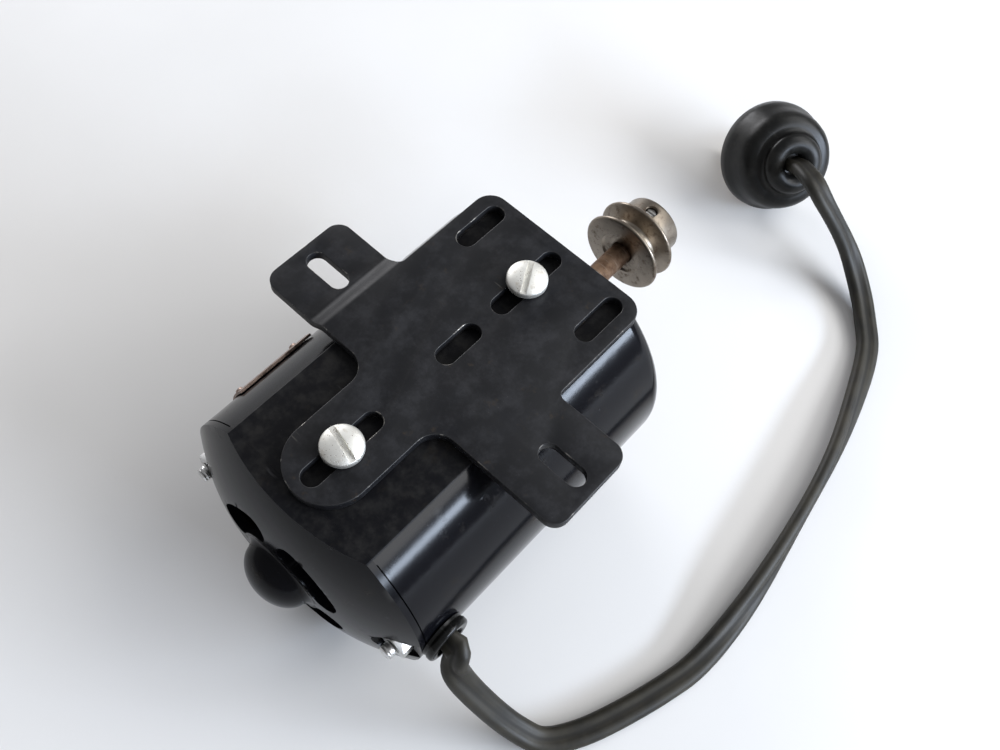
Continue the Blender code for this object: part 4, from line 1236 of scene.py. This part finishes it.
@dataclass
class Fasteners:
    """Through bolts with cut threads at the rear, and their hexagon nuts."""

    at: Stations
    paint: Palette
    pitch: float = 0.7 * MM
    root: float = 1.72 * MM
    thread_length: float = 9.0 * MM
    flats: float = 7.0 * MM

    def thread(self, side: Side) -> bpy.types.Object:
        """A bolt with a helical thread at its rear end.

        Args:
            side: Which bolt.

        Returns:
            The bolt.
        """
        node = f"through_bolt_{side.name.lower()}"
        low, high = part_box(node)
        x, crest = (low[0] + high[0]) / 2, (high[0] - low[0]) / 2
        geo = GeoTree("bolt_" + side.name.lower())
        length = geo.size("Length", high[1] - low[1])
        root = geo.size("Root radius", self.root)
        cut = geo.size("Thread length", self.thread_length)
        pitch = geo.size("Pitch", self.pitch)
        crest_in = geo.size("Crest radius", crest - 0.02 * MM)
        ridge = geo.math("SUBTRACT", crest_in, root)
        turns = geo.math("DIVIDE", cut, pitch)
        helix = geo.node("GeometryNodeCurveSpiral", {},
                         {"Resolution": 20, "Rotations": turns, "Start Radius": root, "End Radius": root,
                          "Height": cut})
        section = geo.node("GeometryNodeCurvePrimitiveCircle", {"mode": "RADIUS"},
                           {"Resolution": 4, "Radius": ridge})
        ridge_mesh = geo.node("GeometryNodeCurveToMesh", {}, {"Curve": helix.outputs[0],
                                                              "Profile Curve": section.outputs[0],
                                                              "Fill Caps": True})
        core = geo.node("GeometryNodeMeshCylinder", {"fill_type": "NGON"},
                        {"Vertices": 32, "Radius": root, "Depth": length})
        lifted = geo.node("GeometryNodeTransform", {}, {"Geometry": core.outputs[0]})
        rise = geo.node("ShaderNodeCombineXYZ", {}, {"Z": geo.math("DIVIDE", length, 2.0)})
        geo.tree.links.new(rise.outputs[0], lifted.inputs["Translation"])
        both = geo.node("GeometryNodeJoinGeometry")
        geo.tree.links.new(ridge_mesh.outputs[0], both.inputs[0])
        geo.tree.links.new(lifted.outputs[0], both.inputs[0])
        geo.close(both.outputs[0], self.paint.steel)
        bolt = geo.run(node + "_threaded")
        bolt.data.transform(self.at.along() @ Matrix.Translation((x, 0.0, low[1])))
        return stand_for(smooth(bolt, 40), Body.MOTOR, "bright_steel", node)

    def nut(self, side: Side) -> bpy.types.Object:
        """A hexagon nut with chamfered corners."""
        node = f"bolt_nut_{side.name.lower()}"
        low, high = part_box(node)
        x, r = (low[0] + high[0]) / 2, self.flats / math.sqrt(3)
        body = prism(node + "_hexagon", arc(x, 0.0, r, 30, 330, 5), low[1], high[1], self.at.along())
        away = 0.45 * MM
        trim = [(r - 0.55 * MM, low[1] - away), (r + 3 * MM, low[1] - away), (r + 3 * MM, low[1] + 2 * MM),
                (r + 0.05 * MM, low[1] + away)]
        centre = self.at.along() @ Matrix.Translation((x, 0.0, 0.0))
        tools = [lathe("chamfer", trim, centre, 64),
                 prism("tapped", ring(x, 0.0, 2.02 * MM, 40), low[1] - MM, high[1] + MM, self.at.along())]
        made = soften(carve(body, tools), 0.12 * MM, 2, angle=25)
        return stand_for(smooth(dress(made, self.paint.steel), 30), Body.MOTOR, "bright_steel", node)

    def build(self) -> None:
        """Make both bolts and nuts."""
        for side in Side:
            self.thread(side)
            self.nut(side)


@dataclass
class CordSet:
    """The flat twin cord, its grommet in the housing and the round plug."""

    at: Stations
    paint: Palette
    width: float = 7.0 * MM
    thickness: float = 3.9 * MM
    necked: float = 0.60
    cad_radius: float = 2.1 * MM
    grommet_radius: float = 6.3 * MM
    plug_radius: float = 17.5 * MM
    plug_length: float = 20.0 * MM
    plug_round: float = 1.0 * MM
    plug_neck: float = 9.6 * MM
    plug_azimuth: float = math.radians(-34.0)
    plug_back: Vector = field(default_factory=lambda: Vector((2.2, 142.0, 0.0)) * MM)
    blade_length: float = 16.0 * MM
    blade_width: float = 6.3 * MM
    hole_depth: float = 4.0 * MM
    gap: float = 0.3 * MM

    def route(self) -> list[Vector]:
        """The cord's route, from the grommet to the plug."""
        points = [(44.6, -55.3, 31.5), (50.0, -54.6, 22.5), (57.8, -52.5, 12.0), (64.5, -50.2, 5.6),
                  (70.1, -47.3, 2.7), (75.8, -38.8, 2.4), (80.4, -27.8, 2.4), (84.3, -16.0, 2.4),
                  (87.0, -3.6, 2.4), (86.9, 17.9, 2.4), (83.8, 44.4, 2.4), (79.5, 70.9, 2.4),
                  (73.6, 92.7, 2.4), (67.8, 109.0, 2.4), (61.6, 117.3, 2.8), (55.9, 123.1, 4.2),
                  (49.9, 127.2, 7.0), (44.3, 129.2, 11.2), (39.2, 128.9, 16.5), (34.2, 127.6, 22.2),
                  (29.0, 126.6, 27.4), (23.4, 127.6, 30.4)]
        return [Vector(p) * MM for p in points]

    @property
    def plug_tilt(self) -> float:
        """The plug's lean, on its rim and on the tips of its blades."""
        return math.atan2(self.plug_radius - self.plug_round - self.blade_width / 2,
                          self.blade_length + self.gap)

    def outward(self) -> Vector:
        """Direction from the plug's blades towards its cord side."""
        flat = math.cos(self.plug_tilt)
        return Vector((math.cos(self.plug_azimuth) * flat, math.sin(self.plug_azimuth) * flat,
                       math.sin(self.plug_tilt)))

    def back(self) -> Vector:
        """Centre of the plug's blade face."""
        height = (self.plug_radius - self.plug_round) * math.cos(self.plug_tilt) + self.gap
        return self.plug_back + Vector((0.0, 0.0, height))

    def centreline(self, per_span: int = 8) -> list[Vector]:
        """Points along the whole cord on a smooth curve.

        Args:
            per_span: Points between two of the route's.

        Returns:
            The points.
        """
        y, z = self.at.cord_y, self.at.axis_z
        inside = Vector((self.at.radius - 2.4 * MM, y, z))
        leave = Vector((self.at.radius + 5.0 * MM, y, z))
        face = self.back() + self.outward() * self.plug_length
        knots = [leave, *self.route(), face + self.outward() * self.cad_radius]
        ends = [inside, *knots, face - self.outward() * self.hole_depth]
        line = [inside]
        for a, b, c, d in zip(ends, ends[1:], ends[2:], ends[3:]):
            for i in range(per_span):
                t = i / per_span
                line.append(0.5 * (2 * b + (c - a) * t + (2 * a - 5 * b + 4 * c - d) * t * t
                                   + (3 * b - a - 3 * c + d) * t ** 3))
        line += [knots[-1], face - self.outward() * (self.hole_depth - self.gap)]
        for _ in range(6):
            line[2:-2] = [(a + 2 * b + c) / 4 for a, b, c in zip(line[1:], line[2:-2], line[3:])]
        return line

    def twist(self, share: float) -> float:
        """How far the cord's broad side has turned from lying flat, in radians, at a share of its length."""
        lying = 0.5 - 0.5 * math.cos(2 * math.pi * min(1.0, max(0.0, (share - 0.30) / 0.48)))
        start = max(0.0, 1 - share / 0.16)
        return math.radians(82) * lying + math.radians(55) * start * start

    def girth(self, run: float) -> float:
        """Share of the full section, less where the cord is gripped inside the grommet."""
        share = min(1.0, max(0.0, (run - 3.0 * MM) / (3.0 * MM)))
        return self.necked + (1 - self.necked) * share

    def section(self, steps: int = 14) -> list[Point2]:
        """The figure-of-eight section, across then up."""
        r, offset = self.thickness / 2, self.width / 2 - self.thickness / 2
        dip = 62.0
        right = arc(offset, 0.0, r, -180 + dip, 180 - dip, steps)
        left = arc(-offset, 0.0, r, dip, 360 - dip, steps)
        return right + left

    def cord(self) -> tuple[bpy.types.Object, list[Vector]]:
        """Sweep the section along the centreline.

        Returns:
            The cord and its ring centres.
        """
        line = self.centreline()
        lengths = [0.0]
        for a, b in zip(line, line[1:]):
            lengths.append(lengths[-1] + (b - a).length)
        total = lengths[-1]
        geo_points, shape = [], self.section()
        bm = bmesh.new()
        across = bm.verts.layers.float.new("across")
        rows = []
        for i, point in enumerate(line):
            ahead = (line[min(i + 1, len(line) - 1)] - line[max(i - 1, 0)]).normalized()
            flat = ahead.cross(Vector((0, 0, 1)))
            if flat.length < 1e-4:
                flat = Vector((0, 1, 0))
            flat.normalize()
            up = flat.cross(ahead).normalized()
            turn = Matrix.Rotation(self.twist(lengths[i] / total), 3, ahead)
            flat, up = turn @ flat, turn @ up
            reach = self.thickness / 2 + abs(flat.z) * (self.width - self.thickness) / 2
            spot = point.copy()
            lying = min(1.0, max(0.0, (9.0 * MM - point.z) / (5.0 * MM)))
            spot.z += lying * max(0.0, reach - self.cad_radius)
            spot.z = max(reach + 0.05 * MM, spot.z)
            size = self.girth(lengths[i])
            geo_points.append(spot)
            row = []
            for a, b in shape:
                vert = bm.verts.new(spot + flat * (a * size) + up * (b * size))
                vert[across] = a / (self.width / 2)
                row.append(vert)
            rows.append(row)
        count = len(shape)
        for first, second in zip(rows, rows[1:]):
            for i in range(count):
                j = (i + 1) % count
                bm.faces.new((first[i], first[j], second[j], second[i]))
        bm.faces.new(rows[0][::-1])
        bm.faces.new(rows[-1])
        bmesh.ops.recalc_face_normals(bm, faces=bm.faces[:])
        mesh = bpy.data.meshes.new("twin_cord")
        bm.to_mesh(mesh)
        bm.free()
        made = smooth(dress(linked("twin_cord", mesh), self.paint.cord), 60)
        return stand_for(made, Body.MOTOR, "cord_rubber", "mains_cord"), geo_points

    def grommet(self) -> bpy.types.Object:
        """The round collar that the cord leaves through."""
        seat = self.at.radius + self.gap
        low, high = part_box("cord_grommet")
        out, r = high[0], self.grommet_radius
        lip = [(r - 0.9 * MM + x, out - 0.9 * MM + y) for x, y in arc(0, 0, 0.9 * MM, 90, 0, 8)]
        profile = [(2.6 * MM, seat + 0.4 * MM), (3.7 * MM, out - 0.7 * MM), (4.2 * MM, out - 0.1 * MM),
                   (4.6 * MM, out), *lip, (r, seat + 0.9 * MM), (r - 0.25 * MM, seat + 0.6 * MM),
                   (r - 0.25 * MM, seat + 0.3 * MM), (r, seat - 0.25 * MM), (3.0 * MM, seat - 0.25 * MM),
                   (3.0 * MM, low[0]), (2.6 * MM, low[0])]
        side = Matrix.Translation((0.0, self.at.cord_y,
                                   self.at.axis_z)) @ Matrix.Rotation(math.pi / 2, 4, "Y")
        made = smooth(dress(lathe("grommet_collar", profile, side, 72), self.paint.grommet), 50)
        return stand_for(made, Body.MOTOR, "moulded_rubber", "cord_grommet")

    def plug(self) -> bpy.types.Object:
        """The round moulded plug with a rolled mouth for the cord."""
        place = (Matrix.Translation(self.back()) @ Matrix.Rotation(self.plug_azimuth, 4, "Z")
                 @ Matrix.Rotation(math.pi / 2 - self.plug_tilt, 4, "Y"))
        crown, r, neck, hole = self.plug_length, self.plug_radius, self.plug_neck, 3.3 * MM
        lip = (neck - hole) / 2
        torus = [(hole + lip + lip * x, crown - lip * 0.86 + lip * 0.86 * y)
                 for x, y in arc(0.0, 0.0, 1.0, 165, -10, 18)]
        waist = [(neck + 0.3 * MM, crown - 4.0 * MM), (neck + 1.0 * MM, crown - 4.75 * MM),
                 (neck + 2.0 * MM, crown - 4.85 * MM)]
        flank = [(r - 4.6 * MM, crown - 4.9 * MM), (r - 3.3 * MM, crown - 5.7 * MM),
                 (r - 2.3 * MM, crown - 7.1 * MM),
                 (r - 1.7 * MM, crown - 9.0 * MM), (r - 1.3 * MM, crown - 11.5 * MM),
                 (r - 0.7 * MM, crown - 13.6 * MM),
                 (r - 0.15 * MM, crown - 15.2 * MM), (r, crown - 16.2 * MM)]
        rim = [(r, 1.5 * MM), (r - 0.35 * MM, 0.55 * MM), (r - self.plug_round, 0.05 * MM),
               (r - 3.0 * MM, 0.0),
               (0.0, 0.0)]
        profile = [(0.0, crown - self.hole_depth), (hole, crown - self.hole_depth), *torus, *waist, *flank,
                   *rim]
        made = smooth(dress(lathe("plug_cap", profile, place, 96), self.paint.plug), 50)
        return stand_for(made, Body.MOTOR, "plug_rubber", "plug_body")

    def build(self) -> None:
        self.grommet()
        plug = self.plug()
        cord, path = self.cord()
        length = sum((b - a).length for a, b in zip(path, path[1:]))
        LOG.info("cord %.0f mm", length / MM)


@dataclass
class Inside:
    """The CAD nodes that keep their shape and only get their finishes."""

    paint: Palette

    def build(self) -> None:
        """Put a finish on each node."""
        paint = self.paint
        looks: dict[str, tuple[str, ...]] = {
            "stack": ("armature_core", "field_core"),
            "wire": ("armature_winding_front", "armature_winding_rear"),
            "bars": ("commutator",),
            "tape": ("field_coil_left", "field_coil_right"),
            "bronze": ("front_bearing", "rear_bearing"),
            "fibre": ("thrust_washer_front", "thrust_washer_rear", "brush_plate"),
            "fan": ("cooling_fan",),
            "blade": ("brush_holder_upper", "brush_holder_lower", "plug_blade_left", "plug_blade_right"),
            "carbon": ("carbon_brush_upper", "carbon_brush_lower"),
            "steel": ("brush_spring_upper", "brush_spring_lower", "pulley_set_screw"),
            "brass": ("name_plate", "name_plate_rivet_front", "name_plate_rivet_rear"),
        }
        for look, nodes in looks.items():
            for node in nodes:
                dress(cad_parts[node], getattr(paint, look))
                LOG.info("%s keeps its shape in %s", node, look)


# ---- stage ---------------------------------------------------------------------------------
@dataclass
class Studio:
    """Plain pale floor, soft light and the camera."""

    camera_at: tuple[float, float, float] = (0.0763, -0.1005, 0.2794)
    ahead: tuple[float, float, float] = (-0.2707, 0.3908, -0.8798)
    above: tuple[float, float, float] = (-0.6177, 0.6304, 0.4701)
    lens: float = 37.8
    floor_size: float = 3.0

    def floor(self) -> None:
        """A pale, slightly warm sheet under everything."""
        s = Shade("pale_floor")
        cloud = s.noise(0.16, 4.0)
        weave = s.noise(1.1 * MM, 2.0)
        colour = s.mix(cloud.rise(0.3, 0.7), (0.76, 0.752, 0.74), (0.80, 0.792, 0.782))
        material = s.dress(Base_Color=colour, Roughness=0.9, Normal=s.bump(weave, 0.05 * MM, 0.3))
        half = self.floor_size / 2
        mesh = bpy.data.meshes.new("floor")
        mesh.from_pydata([(-half, -half, 0), (half, -half, 0), (half, half, 0), (-half, half, 0)], [],
                         [(0, 1, 2, 3)])
        sheet = dress(linked("floor", mesh), material)

    def lamp(self, name: str, at: tuple[float, float, float], aim: tuple[float, float, float], size: Point2,
             power: float, colour: Colour) -> None:
        """One soft rectangular light.

        Args:
            name: The light's name.
            at: Its place.
            aim: The point that it faces.
            size: Width and height.
            power: Watts.
            colour: Its colour.
        """
        data = bpy.data.lights.new(name, "AREA")
        data.shape, data.size, data.size_y = "RECTANGLE", size[0], size[1]
        data.energy, data.color = power, colour
        made = linked(name, data)
        made.matrix_world = (Matrix.Translation(at)
                             @ (Vector(aim) - Vector(at)).to_track_quat("-Z", "Y").to_matrix().to_4x4())

    def camera(self) -> None:
        """The camera, set by its place, its line of sight and its up direction."""
        data = bpy.data.cameras.new("camera")
        data.lens, data.sensor_width = self.lens, 36.0
        data.clip_start, data.clip_end = 0.01, 20.0
        made = linked("camera", data)
        ahead = Vector(self.ahead).normalized()
        right = ahead.cross(Vector(self.above)).normalized()
        up = right.cross(ahead)
        turn = Matrix((right, up, -ahead)).transposed().to_4x4()
        made.matrix_world = Matrix.Translation(self.camera_at) @ turn
        bpy.context.scene.camera = made

    def build(self) -> None:
        """Set the camera, the floor and the lights."""
        self.camera()
        self.floor()
        motor = (0.0, 0.0, 0.04)
        self.lamp("window", at=(0.95, 0.33, 0.36), aim=motor, size=(0.7, 0.10), power=12.0,
                  colour=(0.72, 0.83, 1.0))
        self.lamp("wall", at=(0.85, 0.45, 0.68), aim=motor, size=(0.8, 0.30), power=6.0,
                  colour=(0.97, 0.98, 1.0))
        self.lamp("ceiling", at=(0.45, 0.95, 1.10), aim=(0.0, 0.05, 0.0), size=(1.1, 0.8), power=9.0,
                  colour=(1.0, 1.0, 0.99))
        self.lamp("cloth", at=(-0.85, 0.35, 0.30), aim=(0.0, 0.0, 0.05), size=(0.5, 0.25), power=4.5,
                  colour=(0.97, 0.97, 1.0))
        world = bpy.data.worlds.new("room")
        bpy.context.scene.world = world
        world.use_nodes = True
        ground = world.node_tree.nodes["Background"]
        ground.inputs["Color"].default_value = (0.84, 0.85, 0.88, 1.0)
        ground.inputs["Strength"].default_value = 0.40
        bpy.context.scene.view_settings.view_transform = "Standard"


def main() -> None:
    """Build every sub-assembly in order."""
    at = Stations.read()
    paint = Palette(BlackEnamel(flat_at=at.pad).make(),
                    BlackEnamel("bell_enamel", gloss=0.14, sheen=0.11, flat_at=at.pad).make())
    Studio().build()
    steps: list[Callable[[], None]] = [CordSet(at, paint).build, Casing(at, paint).build,
                                       Bracket(at, paint).build,
                                       Pulley(at, paint).build, Fasteners(at, paint).build,
                                       Inside(paint).build]
    for step in steps:
        step()


if __name__ == "__main__":
    main()
